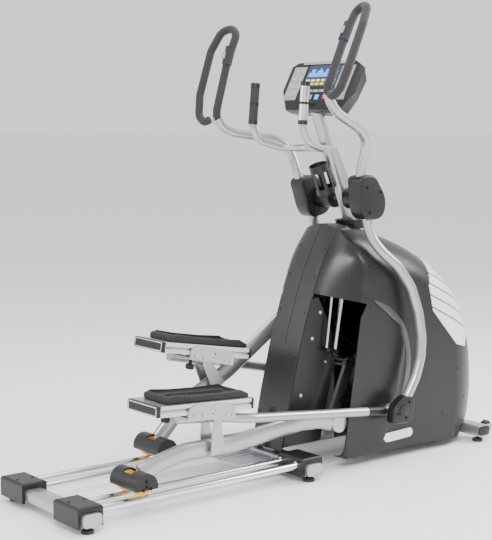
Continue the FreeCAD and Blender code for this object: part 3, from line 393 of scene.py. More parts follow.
# ---------------------------------------------------------------- geometry nodes
def screw_tree() -> bpy.types.NodeTree:
    """A tree that sets a round socket-head screw on every point, facing along its attribute.

    Returns:
        The tree, with Radius, Height and Finish as named inputs.
    """
    known = bpy.data.node_groups.get("screw_heads")
    if known is not None:
        return known
    tree = bpy.data.node_groups.new("screw_heads", "GeometryNodeTree")
    sockets = tree.interface
    sockets.new_socket("Geometry", in_out="INPUT", socket_type="NodeSocketGeometry")
    sockets.new_socket("Radius", in_out="INPUT", socket_type="NodeSocketFloat")
    sockets.new_socket("Height", in_out="INPUT", socket_type="NodeSocketFloat")
    sockets.new_socket("Finish", in_out="INPUT", socket_type="NodeSocketMaterial")
    sockets.new_socket("Geometry", in_out="OUTPUT", socket_type="NodeSocketGeometry")
    made, wire = tree.nodes.new, tree.links.new
    given, result = made("NodeGroupInput"), made("NodeGroupOutput")
    cap, collar = made("GeometryNodeMeshCone"), made("GeometryNodeMeshCylinder")
    joined = made("GeometryNodeJoinGeometry")
    cap.inputs["Vertices"].default_value = 20
    collar.inputs["Vertices"].default_value = 20
    shrink = made("ShaderNodeMath")
    shrink.operation = "MULTIPLY"
    shrink.inputs[1].default_value = 0.72
    wire(given.outputs["Radius"], shrink.inputs[0])
    wire(given.outputs["Radius"], cap.inputs["Radius Bottom"])
    wire(shrink.outputs[0], cap.inputs["Radius Top"])
    wire(given.outputs["Height"], cap.inputs["Depth"])
    wire(given.outputs["Radius"], collar.inputs["Radius"])
    wire(given.outputs["Height"], collar.inputs["Depth"])
    wire(cap.outputs["Mesh"], joined.inputs[0])
    wire(collar.outputs["Mesh"], joined.inputs[0])
    facing = made("GeometryNodeInputNamedAttribute")
    facing.data_type = "FLOAT_VECTOR"
    facing.inputs["Name"].default_value = "facing"
    turn = made("FunctionNodeAlignRotationToVector")
    turn.axis = "Z"
    wire(facing.outputs["Attribute"], turn.inputs["Vector"])
    place, real = made("GeometryNodeInstanceOnPoints"), made("GeometryNodeRealizeInstances")
    paint = made("GeometryNodeSetMaterial")
    wire(given.outputs["Geometry"], place.inputs["Points"])
    wire(joined.outputs[0], place.inputs["Instance"])
    wire(turn.outputs["Rotation"], place.inputs["Rotation"])
    wire(place.outputs["Instances"], real.inputs["Geometry"])
    wire(real.outputs["Geometry"], paint.inputs["Geometry"])
    wire(given.outputs["Finish"], paint.inputs["Material"])
    wire(paint.outputs["Geometry"], result.inputs["Geometry"])
    return tree


def screws(name: str, spots: list, body: str, radius: float = 0.005, height: float = 0.004,
           finish: Finish = SCREW) -> bpy.types.Object:
    """Screw heads at given places, on one body.

    Args:
        name: The object's name.
        spots: Pairs of a point and the way its screw faces.
        body: The body they ride on.
        radius: Radius of a head.
        height: How far a head stands proud, and as deep again.
        finish: The finish they take.

    Returns:
        The new object.
    """
    mesh = bpy.data.meshes.new(name)
    mesh.from_pydata([tuple(point) for point, _ in spots], [], [])
    facing = mesh.attributes.new("facing", "FLOAT_VECTOR", "POINT")
    for index, (_, way) in enumerate(spots):
        facing.data[index].vector = way
    obj = bpy.data.objects.new(name, mesh)
    bpy.context.scene.collection.objects.link(obj)
    step = obj.modifiers.new("screws", "NODES")
    step.node_group = screw_tree()
    values = {"Radius": radius, "Height": height, "Finish": finish.material()}
    for item in step.node_group.interface.items_tree:
        if item.in_out == "INPUT" and item.name in values:
            step[item.identifier] = values[item.name]
    baked(obj)
    soften(obj, 40)
    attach(obj, body)
    return obj


def row_tree() -> bpy.types.NodeTree:
    """A tree that repeats a bar along a straight line.

    Returns:
        The tree, with Count, Start, Step, Size, Turn and Finish as named inputs.
    """
    known = bpy.data.node_groups.get("bar_row")
    if known is not None:
        return known
    tree = bpy.data.node_groups.new("bar_row", "GeometryNodeTree")
    sockets = tree.interface
    sockets.new_socket("Geometry", in_out="INPUT", socket_type="NodeSocketGeometry")
    sockets.new_socket("Count", in_out="INPUT", socket_type="NodeSocketInt")
    for label in ("Start", "Step", "Size", "Turn"):
        sockets.new_socket(label, in_out="INPUT", socket_type="NodeSocketVector")
    sockets.new_socket("Finish", in_out="INPUT", socket_type="NodeSocketMaterial")
    sockets.new_socket("Geometry", in_out="OUTPUT", socket_type="NodeSocketGeometry")
    made, wire = tree.nodes.new, tree.links.new
    given, result = made("NodeGroupInput"), made("NodeGroupOutput")
    line, bar = made("GeometryNodeMeshLine"), made("GeometryNodeMeshCube")
    place, real = made("GeometryNodeInstanceOnPoints"), made("GeometryNodeRealizeInstances")
    paint = made("GeometryNodeSetMaterial")
    wire(given.outputs["Count"], line.inputs["Count"])
    wire(given.outputs["Start"], line.inputs["Start Location"])
    wire(given.outputs["Step"], line.inputs["Offset"])
    wire(given.outputs["Size"], bar.inputs["Size"])
    wire(line.outputs["Mesh"], place.inputs["Points"])
    wire(bar.outputs["Mesh"], place.inputs["Instance"])
    wire(given.outputs["Turn"], place.inputs["Rotation"])
    wire(place.outputs["Instances"], real.inputs["Geometry"])
    wire(real.outputs["Geometry"], paint.inputs["Geometry"])
    wire(given.outputs["Finish"], paint.inputs["Material"])
    wire(paint.outputs["Geometry"], result.inputs["Geometry"])
    return tree


def bar_row(name: str, start: tuple, step: tuple, count: int, size: tuple, place: Matrix,
            finish: Finish, body: str, edge: float = 0.0005) -> bpy.types.Object:
    """A row of equal bars with rounded edges, on one body.

    Args:
        name: The object's name.
        start: Centre of the first bar in the local frame.
        step: From one bar to the next, in the local frame.
        count: How many bars there are.
        size: The three sides of a bar.
        place: The local frame.
        finish: The finish they take.
        body: The body they ride on.
        edge: Radius of their edges.

    Returns:
        The new object.
    """
    obj = bpy.data.objects.new(name, bpy.data.meshes.new(name))
    bpy.context.scene.collection.objects.link(obj)
    modifier = obj.modifiers.new("row", "NODES")
    modifier.node_group = row_tree()
    values = {"Count": count, "Start": place @ Vector(start), "Step": place.to_3x3() @ Vector(step),
              "Size": Vector(size), "Turn": Vector(place.to_euler()), "Finish": finish.material()}
    for item in modifier.node_group.interface.items_tree:
        if item.in_out == "INPUT" and item.name in values:
            modifier[item.identifier] = values[item.name]
    baked(obj)
    rounded(obj, edge, 2)
    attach(obj, body)
    return obj


def turned(obj: bpy.types.Object, place: Matrix) -> bpy.types.Object:
    """Move a mesh by a frame, leaving its object at the origin."""
    obj.data.transform(place)
    return obj


def curved(points: list, parts: int = 5) -> list:
    """A closed smooth outline through (x, z) points."""
    count = len(points)
    out = []
    for index in range(count):
        p0, p1, p2, p3 = (Vector(points[(index + step) % count]) for step in (-1, 0, 1, 2))
        for part in range(parts):
            at = part / parts
            out.append(tuple(0.5 * ((2 * p1) + (p2 - p0) * at + (2 * p0 - 5 * p1 + 4 * p2 - p3) * at ** 2
                                    + (3 * p1 - p0 - 3 * p2 + p3) * at ** 3)))
    return out


def circle(px: float, pz: float, radius: float, steps: int = 48) -> list:
    """A round (x, z) outline in millimetres."""
    turns = [2 * math.pi * step / steps for step in range(steps)]
    return [(px + radius * math.cos(turn), pz + radius * math.sin(turn)) for turn in turns]


# ---------------------------------------------------------------- shroud
@dataclass
class Shroud:
    """The moulded housing over the drive: two side shells, a spine panel and two accents."""

    half: float = 200.0
    wall: float = 3.2
    spine_half: float = 90.0
    shield: float = 5.0
    stations: int = 16
    rings: int = 34
    rear: list = field(default_factory=lambda: [
        (-36, 88), (10, 300), (60, 500), (121, 690), (180, 830), (251, 962)])
    front: list = field(default_factory=lambda: [
        (251, 962), (393, 948), (649, 855), (807, 759), (922, 660), (988, 565),
        (1045, 440), (1066, 330), (1070, 219), (1052, 110), (1000, 30)])

    def smooth(self, points: list, parts: int) -> list:
        """Points along a Catmull-Rom curve through a run of points, without its last one."""
        padded = [points[0]] + points + [points[-1]]
        out = []
        for index in range(1, len(padded) - 2):
            p0, p1, p2, p3 = (Vector(padded[index + step]) for step in (-1, 0, 1, 2))
            for part in range(parts):
                at = part / parts
                out.append(0.5 * ((2 * p1) + (p2 - p0) * at + (2 * p0 - 5 * p1 + 4 * p2 - p3) * at ** 2
                                  + (3 * p1 - p0 - 3 * p2 + p3) * at ** 3))
        return out

    def outline(self, turn: float, margin: float) -> list:
        """Side outline at one angle from the middle plane round to the side, in millimetres."""
        out = math.sin(turn)
        away = 1 - math.cos(turn)
        inset, drop = 232 * away ** 0.85, 212 * away
        tuck = 0.52 * max(0.0, (out - 0.45) / 0.55) ** 1.32
        roof = 962 - drop * 1.02 - margin
        rear = [(px + (400 - px) * tuck + margin, min(pz, roof)) for px, pz in self.rear]
        front = []
        for px, pz in self.front:
            share = max(0.0, (px - 208) / 862.0)
            front.append((px - inset * share ** 2 - margin, pz - drop * (pz / 962.0) ** 3 - margin))
        front[0] = rear[-1]
        base = [front[-1], (640, 40 + margin), (208, 40 + margin), (rear[0][0], rear[0][1] + margin)]
        rear[0] = base[-1]
        line = self.smooth(rear, 6) + self.smooth(front, 6)
        for start, end in zip(base, base[1:]):
            line += [Vector(start).lerp(Vector(end), part / 8) for part in range(8)]
        return line

    def bulge(self, px: float, pz: float) -> float:
        """How far the side stands out at a place: a raised shield behind a slanting crease."""
        crease = [(300, 690), (505, 545), (528, 466), (490, 284), (440, 120)]
        edge = crease[-1][0]
        for (x1, z1), (x2, z2) in zip(crease, crease[1:]):
            if z2 <= pz <= z1:
                edge = x1 + (x2 - x1) * (z1 - pz) / (z1 - z2)
        if pz > 690:
            edge = 300 - (pz - 690) * 2
        blend = max(0.0, min(1.0, (edge - px) / 9 + 0.5))
        return self.shield * blend * blend * (3 - 2 * blend)

    def half_solid(self, name: str, side: int, margin: float, finish: Finish) -> bpy.types.Object:
        """One half of the housing as a filled solid, from just past the middle out to the side.

        Args:
            name: The object's name.
            side: -1 for the right, 1 for the left.
            margin: How far inside the skin it stays, in millimetres.
            finish: The finish it takes.

        Returns:
            The new object.
        """
        rows = [(0.0 if margin <= 0 else -6.0, self.outline(0, margin))]
        for step in range(1, self.stations + 1):
            turn = math.pi / 2 * math.sin(math.pi / 2 * step / self.stations)
            rows.append(((self.half - margin) * math.sin(turn), self.outline(turn, margin)))
        rim = rows[-1][1]
        middle = Vector((560, 380))
        for ring in range(1, self.rings):
            scale = 1 - ring / self.rings
            line = [middle + (point - middle) * scale for point in rim]
            rows.append((self.half - margin, line))
        count = len(rim)
        verts = []
        for index, (out, line) in enumerate(rows):
            flat = index > self.stations
            for point in line:
                lift = self.bulge(point[0], point[1]) if flat else 0.0
                verts.append((point[0] * MM, side * (out + lift) * MM, point[1] * MM))
        faces = []
        for row in range(len(rows) - 1):
            for index in range(count):
                after = (index + 1) % count
                faces.append([row * count + index, row * count + after,
                              (row + 1) * count + after, (row + 1) * count + index])
        lift = self.half - margin + self.bulge(*middle)
        verts.append((middle[0] * MM, side * lift * MM, middle[1] * MM))
        verts.append((middle[0] * MM, side * rows[0][0] * MM, middle[1] * MM))
        last = (len(rows) - 1) * count
        for index in range(count):
            after = (index + 1) % count
            faces.append([last + index, last + after, len(verts) - 2])
            faces.append([after, index, len(verts) - 1])
        return solid(name, verts, faces, finish, 30)

    def mast_cutter(self) -> bpy.types.Object:
        """A round bar along the mast, wider than it."""
        low, high = Vector((0.445, 0, 0.86)), Vector((0.32, 0, 1.16))
        return pipe("mast_gap", [low, high], 0.057, SHELL, 48)

    def skin(self, name: str, side: int, finish: Finish) -> bpy.types.Object:
        """One half of the housing as a thin wall, open below and round the mast."""
        wall = self.half_solid(name, side, 0.0, finish)
        carve(wall, self.half_solid("hollow", side, self.wall, finish))
        carve(wall, self.mast_cutter())
        carve(wall, placed_box("opening", (0.915, 0.3, 0.078), (0.4675, 0, 0.049), Matrix(), finish, 1e-4))
        carve(wall, placed_box("bar_gap", (0.2, 0.6, 0.068), (1.025, 0, 0.044), Matrix(), finish, 1e-4))
        return wall

    def spine_zone(self, half: float) -> bpy.types.Object:
        """The part of the housing that the spine panel takes."""
        line = [(-60, 60), (70, 60), (150, 690), (330, 700), (330, 1000), (-60, 1000)]
        return prism("zone", line, -half * MM, half * MM, SPINE)

    def build(self) -> None:
        """Make the shells, the spine, the accents and their screws."""
        spines = []
        for name, side in SIDES.items():
            shell = self.skin(name + "_side_shell", side, SHELL)
            back = shell.copy()
            back.data = shell.data.copy()
            bpy.context.scene.collection.objects.link(back)
            carve(back, self.spine_zone(self.spine_half - 0.4), "INTERSECT")
            spines.append(back)
            carve(shell, self.spine_zone(self.spine_half + 0.6))
            window = [(-80, 20), (187, 20), (277, 599), (309, 652), (91, 706), (-80, 706)]
            low, high = sorted((side * 0.0895, side * 0.26))
            carve(shell, prism("window", window, low, high, SHELL))
            dress(shell, SHELL)
            soften(shell, 30)
            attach(shell, "root")
            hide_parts(name + "_shroud")
            self.trim(name, side, shell)
            LOG.info("%s shell: %d faces", name, len(shell.data.polygons))
        joined = bmesh.new()
        for back in spines:
            joined.from_mesh(back.data)
            bpy.data.objects.remove(back)
        bmesh.ops.remove_doubles(joined, verts=joined.verts, dist=5e-5)
        mesh = bpy.data.meshes.new("spine_cover")
        joined.to_mesh(mesh)
        joined.free()
        spine = bpy.data.objects.new("spine_cover", mesh)
        bpy.context.scene.collection.objects.link(spine)
        dress(spine, SPINE)
        soften(spine, 30)
        edge = self.rear[2:]
        seam = [(px - 6, pz) for px, pz in edge] + [(px + 2.2, pz) for px, pz in reversed(edge)]
        carve(spine, prism("seam", seam, -0.0011, 0.0011, SPINE))
        dress(spine, SPINE)
        soften(spine, 30)
        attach(spine, "root")
        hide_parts("spine_panel")
        spots = []
        for across in (-0.074, 0.074):
            for height in (0.22, 0.45, 0.62, 0.76, 0.87):
                hit, place, normal, _ = spine.ray_cast(Vector((-0.3, across, height)), Vector((1, 0, 0)))
                if hit:
                    spots.append((place, normal))
        screws("spine_screws", spots, "root", 0.0045, 0.0016)
        spots = []
        for side in SIDES.values():
            for px, pz in ((60, 300), (118, 520), (70, 190), (160, 620), (190, 420)):
                spots.append((Vector((px * MM, side * 0.0944, pz * MM)), Vector((0, side, 0))))
        screws("guard_screws", spots, "root", 0.007, 0.0028, STEEL)

    def trim(self, name: str, side: int, shell: bpy.types.Object) -> None:
        """The ribbed accent, the blank badge and the screws on one side."""
        accent = self.half_solid(name + "_accent", side, -3.4, ACCENT)
        carve(accent, self.half_solid("under", side, -0.5, ACCENT))
        outline = [(690, 590), (664, 694), (716, 830), (850, 790), (965, 545), (900, 418), (836, 436)]
        low, high = sorted((side * 0.07, side * 0.26))
        carve(accent, prism("accent_zone", outline, low, high, ACCENT), "INTERSECT")
        for index in range(4):
            start, end = (640, 628 + index * 46), (1012, 452 + index * 50)
            dx, dz = end[0] - start[0], end[1] - start[1]
            reach = math.hypot(dx, dz)
            nx, nz = -dz / reach * 2.5, dx / reach * 2.5
            line = [(start[0] + nx, start[1] + nz), (end[0] + nx, end[1] + nz),
                    (end[0] - nx, end[1] - nz), (start[0] - nx, start[1] - nz)]
            carve(accent, prism(f"groove_{index}", line, -0.3, 0.3, ACCENT))
        dress(accent, ACCENT)
        soften(accent, 30)
        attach(accent, "root")
        if side < 0:
            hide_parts("accent_panels")
        self.badge(name, side)
        crescent = [(352, 662), (448, 622), (528, 540), (561, 430), (556, 330), (520, 230), (476, 160),
                    (505, 250), (531, 340), (534, 430), (506, 520), (436, 596)]
        low, high = sorted((side * 0.1985, side * 0.2016))
        inlay = rounded(prism(name + "_crescent", curved(crescent, 6), low, high, CRESCENT), 0.0008, 2)
        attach(inlay, "root")
        spots = []
        for px, pz in ((330, 800), (230, 760), (640, 700), (760, 150),
                       (900, 200), (330, 640), (700, 620), (850, 330)):
            start = Vector((px * MM, side * 0.3, pz * MM))
            hit, place, normal, _ = shell.ray_cast(start, Vector((0, -side, 0)))
            if hit:
                spots.append((place, normal))
        if spots:
            screws(name + "_shell_screws", spots, "root", 0.0045, 0.0016)

    def badge(self, name: str, side: int) -> None:
        """A blank capsule plate low on the side."""
        centre = Vector((0.478, side * (self.half + 0.6) * MM, 0.096))
        for label, grow, thick, finish in (("rim", 0.0, 0.0022, MOULDED), ("plate", -0.005, 0.0034, PALE)):
            length, tall = 0.104 + grow, 0.024 + grow
            ring = []
            for step in range(48):
                turn = 2 * math.pi * step / 48
                shift = (length - tall) * (1 if math.cos(turn) >= 0 else -1)
                ring.append((centre.x + shift + tall * math.cos(turn), centre.z + tall * math.sin(turn)))
            lean = math.tan(math.radians(2.0))
            outline = [(px / MM, (pz + (px - centre.x) * lean) / MM) for px, pz in ring]
            low, high = sorted((side * 0.1985, side * (0.2002 + thick)))
            plate = prism(f"{name}_badge_{label}", outline, low, high, finish)
            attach(rounded(plate, 0.0006, 2), "root")


# ---------------------------------------------------------------- console
@dataclass
class Console:
    """The head unit: a stepped fascia, lit segments, keys and a speaker grille."""

    centre: tuple[float, float, float] = (0.2614, 0.0, 1.488)
    tilt: float = 28.0
    face: float = -0.0425

    def frame(self) -> Matrix:
        """The console's own frame: -X out of the face, +Z up it."""
        return Matrix.Translation(self.centre) @ Matrix.Rotation(math.radians(self.tilt), 4, "Y")

    def tile(self, name: str, size: tuple, place: tuple, finish: Finish, proud: float = 0.002) -> None:
        """A thin plate on the face, by its width and height and its centre across and up."""
        box = placed_box(name, (0.004, *size), (self.face - proud + 0.002, *place), self.frame(), finish)
        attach(box, "root")

    def build(self) -> None:
        """Make the fascia, the display and the keys."""
        self.tile("fascia_left", (0.074, 0.15), (0.141, 0.012), GREY, 0.0016)
        self.tile("fascia_right", (0.074, 0.15), (-0.141, 0.012), GREY, 0.0016)
        self.tile("fascia_top", (0.27, 0.008), (0, 0.101), EXTRUSION, 0.0022)
        for index in range(14):
            tall = 0.012 + 0.024 * abs(math.sin(index * 0.9 + 0.6))
            segment = placed_box(f"bar_{index}", (0.002, 0.0085, tall),
                                 (self.face + 0.0024, -0.078 + index * 0.012, 0.052 + tall / 2 - 0.01),
                                 self.frame(), BLUE_GLOW, 4e-4)
            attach(segment, "root")
        for row, finish in enumerate((LIME_GLOW, AMBER_GLOW)):
            for index in range(6):
                segment = placed_box(f"readout_{row}_{index}", (0.002, 0.02, 0.009),
                                     (self.face + 0.0024, -0.075 + index * 0.03, 0.026 - row * 0.016),
                                     self.frame(), finish, 4e-4)
                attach(segment, "root")
        for side in (-1, 1):
            for row in range(4):
                for column in range(2):
                    self.tile(f"key_{side}_{row}_{column}", (0.022, 0.018),
                              (side * (0.126 + column * 0.031), 0.066 - row * 0.034), EXTRUSION, 0.004)
        for index in range(5):
            spot = (-0.068 + index * 0.034, -0.024)
            self.tile(f"soft_key_{index}", (0.026, 0.011), spot, EXTRUSION, 0.0036)
        self.tile("blue_key", (0.02, 0.02), (-0.022, -0.052), BLUE_GLOW, 0.004)
        self.tile("power_ring", (0.028, 0.02), (0.022, -0.052), GREY, 0.004)
        bar_row("speaker_slots", (self.face - 0.0002, -0.03, -0.085), (0, 0.0075, 0), 9,
                (0.002, 0.004, 0.016), self.frame(), SCREW, "root")
        pocket = placed_box("rear_pocket", (0.03, 0.22, 0.12), (0.055, 0, 0), self.frame(), MOULDED, 0.01)
        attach(pocket, "root")


# ---------------------------------------------------------------- moving sides
ROD_SLOPE = {"right": -6.2, "left": -12.6}
BEAM_PITCH = {"right": -3.2, "left": -9.64}
TRAY_PITCH = {"right": -3.204, "left": -9.636}
SWING_RISE = {"right": -0.16, "left": 13.26}
SHOULDER = (0.362, 0, 1.062)
PEDAL_MID = 0.14
ROD_MID = 0.225
ROD_SINK = 0.0045
SADDLE_FACES = (0.039, 0.241)
BOOT_FACE = 0.292
HOOD_FACE = 0.203
HOUSING_FACE = 0.262
AXLE_BORE = 12.6


def along_x(place: Vector, rise: float) -> Matrix:
    """A frame at a place, with its +X turned up by an angle.

    Args:
        place: Where its origin is, in metres.
        rise: The angle in degrees.

    Returns:
        The frame.
    """
    return Matrix.Translation(place) @ Matrix.Rotation(math.radians(-rise), 4, "Y")


@dataclass
class MovingSide:
    """Small pieces that ride on one side's pedal, roller and swing arm."""

    name: str
    side: int

    def build(self) -> None:
        """Make the pedal, roller and arm details of this side."""
        self.pedal_caps()
        self.rod_sleeve()
        self.joint_screws()
        self.covers()
        self.footplate()

    def joint(self, label: str) -> Vector:
        """Where a joint of this side is, at rest."""
        for item in frame["joints"]:
            if item["name"] == f"{self.name}_{label}":
                return Vector(item["pos_m"])
        raise KeyError(label)

    def beam_frame(self) -> Matrix:
        """Frame along the pedal beam, from the middle of its box, with +X towards the toe."""
        low, high = (Vector(corner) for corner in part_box(self.name + "_pedal_beam"))
        return along_x((low + high) / 2, BEAM_PITCH[self.name])

    def rod_axes(self) -> tuple[Vector, Vector]:
        """The ways along the connecting arm and up from it, at rest."""
        slope = math.radians(ROD_SLOPE[self.name])
        return Vector((math.cos(slope), 0, math.sin(slope))), Vector((-math.sin(slope), 0, math.cos(slope)))

    def pedal_caps(self) -> None:
        """Chrome-lined grille frames on the beam's two ends, and screws through its saddle plates."""
        place = self.beam_frame()
        body = self.name + "_pedal_lever"
        for end in (-1, 1):
            out = end * 0.2157
            for label, size, spot in (("top", (0.0014, 0.176, 0.0035), (out, 0, 0.0155)),
                                      ("bottom", (0.0014, 0.176, 0.0035), (out, 0, -0.0155)),
                                      ("near", (0.0014, 0.0035, 0.031), (out, -0.0863, 0)),
                                      ("far", (0.0014, 0.0035, 0.031), (out, 0.0863, 0))):
                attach(placed_box(f"{self.name}_cap_{end}_{label}", size, spot, place, CHROME), body)
            bar_row(f"{self.name}_slats_{end}", (out, -0.068, 0), (0, 0.017, 0), 9,
                    (0.0014, 0.0035, 0.02), place, SCREW, body, 0.0004)
        pivot = self.joint("pedal_pivot")
        along, up = self.rod_axes()
        spots = []
        for edge in SADDLE_FACES:
            facing = Vector((0, math.copysign(1, edge - PEDAL_MID) * self.side, 0))
            for shift in (-0.125, -0.085, 0.02, 0.045):
                spots.append((pivot + along * shift + up * 0.01 + Vector((0, self.side * edge, 0)), facing))
        screws(self.name + "_saddle_bolts", spots, body, 0.007, 0.005, STEEL)

    def rod_sleeve(self) -> None:
        """Dark sleeve on the front end of the connecting arm."""
        along, up = self.rod_axes()
        base = self.joint("pedal_pivot") + Vector((0, self.side * ROD_MID, 0)) - up * ROD_SINK
        points = [base + along * 0.74, base + along * 0.748, base + along * 0.835]
        sleeve = pipe(self.name + "_rod_sleeve", points, 0.0191, MOULDED, 32)
        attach(sleeve, self.name + "_pedal_lever")

    def joint_screws(self) -> None:
        """Screws in the lower joint cover, the shoulder cover and the roller housing's ends."""
        low, high = (Vector(corner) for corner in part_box(self.name + "_lower_joint_cover"))
        face = self.side * BOOT_FACE
        middle = (low + high) / 2
        spots = []
        for dx, dz in ((0.03, 0.03), (0.012, -0.032), (-0.032, -0.012)):
            spots.append((Vector((middle.x + dx, face, middle.z + dz)), Vector((0, self.side, 0))))
        screws(self.name + "_cover_screws", spots, self.name + "_swing")
        disc = circle(middle.x / MM, middle.z / MM, 26, 40)
        cap = prism(self.name + "_cover_disc", disc, *sorted((face, face + self.side * 0.0022)), MOULDED)
        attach(rounded(cap, 0.0008, 2), self.name + "_swing")
        shoulder = self.joint("swing_pivot")
        spots = [(shoulder + Vector((dx, self.side * HOOD_FACE, dz)), Vector((0, self.side, 0)))
                 for dx, dz in ((-0.055, 0.05), (0.02, 0.03), (-0.04, -0.05))]
        screws(self.name + "_shoulder_screws", spots, self.name + "_swing")
        axle = self.joint("wheel_roll")
        spots = [(axle + Vector((0.018 * math.cos(turn), self.side * HOUSING_FACE, 0.018 * math.sin(turn))),
                  Vector((0, self.side, 0))) for turn in (1.6, 3.7, 5.8)]
        spots.append((axle + Vector((0, self.side * HOUSING_FACE, 0)), Vector((0, self.side, 0))))
        screws(self.name + "_housing_screws", spots, self.name + "_roller_truck", 0.006, 0.004)

    def swing_frame(self) -> Matrix:
        """The swing arm's own frame at rest, on the cross axle."""
        return along_x(Vector(SHOULDER), SWING_RISE[self.name])

    def covers(self) -> None:
        """Rounded shoulder hood and lower joint cover."""
        body = self.name + "_swing"
        hood_line = [(-92, 84), (-50, 98), (-8, 88), (22, 50), (46, 8), (46, -42), (20, -74), (-34, -78),
                     (-66, -66), (-84, -28), (-90, 28)]
        low, high = sorted((self.side * 0.127, self.side * 0.2025))
        hood = rounded(prism(self.name + "_hood", curved(hood_line), low, high, MOULDED), 0.009, 4)
        low, high = sorted((self.side * 0.041, self.side * 0.131))
        carve(hood, prism("sleeve", circle(0, 0, 43.5), low, high, MOULDED), "UNION")
        low, high = sorted((self.side * 0.112, self.side * 0.119))
        carve(hood, prism("collar", circle(0, 0, 46.5), low, high, MOULDED), "UNION")
        low, high = sorted((self.side * 0.03, self.side * 0.198))
        carve(hood, prism("bore", circle(0, 0, AXLE_BORE), low, high, MOULDED))
        turned(dress(hood, MOULDED), self.swing_frame())
        soften(hood, 35)
        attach(hood, body)
        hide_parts(self.name + "_shoulder_cover")
        end_x, end_z = 73.0, -847.0
        shifts = [(-52, -36), (-10, -46), (48, -44), (62, 0), (64, 48), (34, 62), (4, 58), (-44, 20)]
        line = curved([(end_x + dx, end_z + dz) for dx, dz in shifts])
        low, high = sorted((self.side * 0.2475, self.side * 0.2915))
        boot = rounded(prism(self.name + "_boot", line, low, high, MOULDED), 0.008, 4)
        turned(dress(boot, MOULDED), self.swing_frame())
        soften(boot, 35)
        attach(boot, body)
        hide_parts(self.name + "_lower_joint_cover")

    def footplate(self) -> None:
        """Moulded tray with a rounded rim, and tread ribs across its floor."""
        pivot = self.joint("pedal_pivot")
        place = along_x(Vector((pivot.x, 0, pivot.z)), TRAY_PITCH[self.name])
        body = self.name + "_foot_tray"
        line = [(-228, 60.5), (142, 60.5), (142, 74), (104, 89),
                (0, 85), (-120, 86), (-200, 91.5), (-228, 82)]
        low, high = sorted((self.side * 0.0655, self.side * 0.2145))
        tray = rounded(prism(self.name + "_tray", line, low, high, TREAD), 0.0065, 4)
        middle = (-0.045, self.side * PEDAL_MID, 0.0975)
        pocket = placed_box("pocket", (0.336, 0.128, 0.06), middle, Matrix(), TREAD, 0.011)
        carve(tray, pocket)
        turned(dress(tray, TREAD), place)
        soften(tray, 35)
        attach(tray, body)
        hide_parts(self.name + "_footplate")
        bar_row(self.name + "_tread_ribs", (-0.19, self.side * PEDAL_MID, 0.0688), (0.0165, 0, 0), 18,
                (0.007, 0.108, 0.0036), place, TREAD, body, 0.0012)


# ---------------------------------------------------------------- base and stage
@dataclass
class Base:
    """Hardware on the crossbars and rails."""

    rail_outs: tuple[float, float] = (0.132, 0.221)
    ends: tuple[float, float] = (-0.955, -0.075)

    def build(self) -> None:
        """Make the rail bolts, the saddle screws, the front bar's end caps and the pulse grips."""
        spots = []
        for end in self.ends:
            for out in self.rail_outs:
                for side in SIDES.values():
                    spots.append((Vector((end, side * out, 0.08)), Vector((0, 0, 1))))
        screws("rail_bolts", spots, "root", 0.006, 0.004, STEEL)
        spots = []
        for place in (-1.014, -0.015):
            for side in SIDES.values():
                for dx in (-0.03, 0.03):
                    spots.append((Vector((place + dx, side * 0.176, 0.096)), Vector((0, 0, 1))))
        screws("saddle_screws", spots, "root", 0.005, 0.0025)
        for side in SIDES.values():
            low, high = sorted((side * 0.2452, side * 0.2495))
            line = []
            for step in range(40):
                turn = 2 * math.pi * step / 40
                line.append((970 + 34 * math.copysign(abs(math.cos(turn)) ** 0.5, math.cos(turn)),
                             50 + 20 * math.copysign(abs(math.sin(turn)) ** 0.5, math.sin(turn))))
            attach(rounded(prism(f"front_cap_{side}", line, low, high, MOULDED), 0.001, 2), "root")
        self.pulse_grips()

    def pulse_grips(self) -> None:
        """A sensor grip on the near upright and a foam grip on the far one."""
        for name, side in SIDES.items():
            low, high = Vector((0.015, side * 0.15, 1.356)), Vector((0.0294, side * 0.15, 1.516))
            near = side < 0
            finish = CHROME if near else FOAM
            grip = rounded(pipe(name + "_pulse_body", [low, high], 0.018, finish, 32), 0.003)
            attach(grip, "root")
            if near:
                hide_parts("pulse_grips")
            for index, (start, end) in enumerate(((0.0, 0.1), (0.47, 0.53), (0.9, 1.01))):
                ends = [low.lerp(high, start), low.lerp(high, end)]
                band = rounded(pipe(f"{name}_pulse_band_{index}", ends, 0.0186, MOULDED, 32), 0.001)
                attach(band, "root")


CAMERA_PLACE = (-3.237, -3.872, 1.369)
CAMERA_DROP = 6.533
CAMERA_HEADING = 51.336
LENS_MM = 86.67
SENSOR_MM = 36
AIM = (0.1, 0, 0.7)
LAMPS = (("key", (-2.6, -3.4, 3.6), 2.4, 260), ("fill", (-4.2, 2.4, 2.2), 3.0, 70),
         ("rim", (3.2, -1.6, 3.0), 2.2, 170), ("top", (0.2, 0.0, 4.4), 3.0, 120))


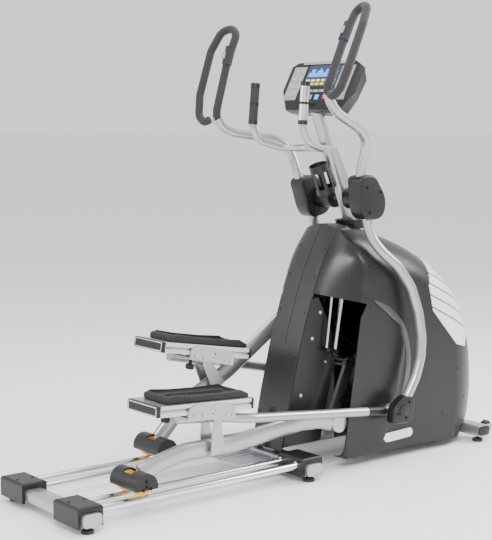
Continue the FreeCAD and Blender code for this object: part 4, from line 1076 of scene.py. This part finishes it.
def stage() -> None:
    """Pale floor, soft studio lights and the camera."""
    bpy.ops.mesh.primitive_plane_add(size=300, location=(0, 0, -0.0005))
    floor = bpy.context.object
    floor.name = "studio_floor"
    dress(floor, FLOOR)
    world = bpy.context.scene.world or bpy.data.worlds.new("studio")
    bpy.context.scene.world = world
    world.use_nodes = True
    world.node_tree.nodes["Background"].inputs["Color"].default_value = (0.97, 0.98, 1, 1)
    world.node_tree.nodes["Background"].inputs["Strength"].default_value = 1.2
    for name, place, size, power in LAMPS:
        lamp = bpy.data.lights.new(name, "AREA")
        lamp.shape = "DISK"
        lamp.size = size
        lamp.energy = power
        holder = bpy.data.objects.new(name, lamp)
        bpy.context.scene.collection.objects.link(holder)
        aim = Vector(AIM) - Vector(place)
        holder.location = place
        holder.rotation_euler = aim.to_track_quat("-Z", "Y").to_euler()
    camera = bpy.data.cameras.new("camera")
    camera.lens = LENS_MM
    camera.sensor_width = SENSOR_MM
    holder = bpy.data.objects.new("camera", camera)
    bpy.context.scene.collection.objects.link(holder)
    holder.location = CAMERA_PLACE
    holder.rotation_euler = (math.radians(90 - CAMERA_DROP), 0, math.radians(CAMERA_HEADING - 90))
    bpy.context.scene.camera = holder


def dress_nodes() -> None:
    """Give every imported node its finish."""
    for finish, names in NODE_FINISHES.items():
        for name in names:
            node = frame["nodes"][name]
            if not node.data.materials:
                node.data.materials.append(finish.material())
            for index in range(len(node.data.materials)):
                node.data.materials[index] = finish.material()


def report_pieces() -> None:
    """Log every finished piece with its face count."""
    for obj in bpy.context.scene.objects:
        if obj.type == "MESH" and obj.name not in frame["nodes"]:
            LOG.info("%s: %d faces", obj.name, len(obj.data.polygons))


def main() -> None:
    """Dress the frame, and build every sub-assembly."""
    logging.basicConfig(level=logging.INFO, format="%(name)s: %(message)s")
    stage()
    dress_nodes()
    Shroud().build()
    LOG.info("shroud built")
    Console().build()
    LOG.info("console built")
    for name, side in SIDES.items():
        MovingSide(name, side).build()
        LOG.info("%s side built", name)
    Base().build()
    LOG.info("base built")
    report_pieces()


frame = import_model()

if __name__ == "__main__":
    main()
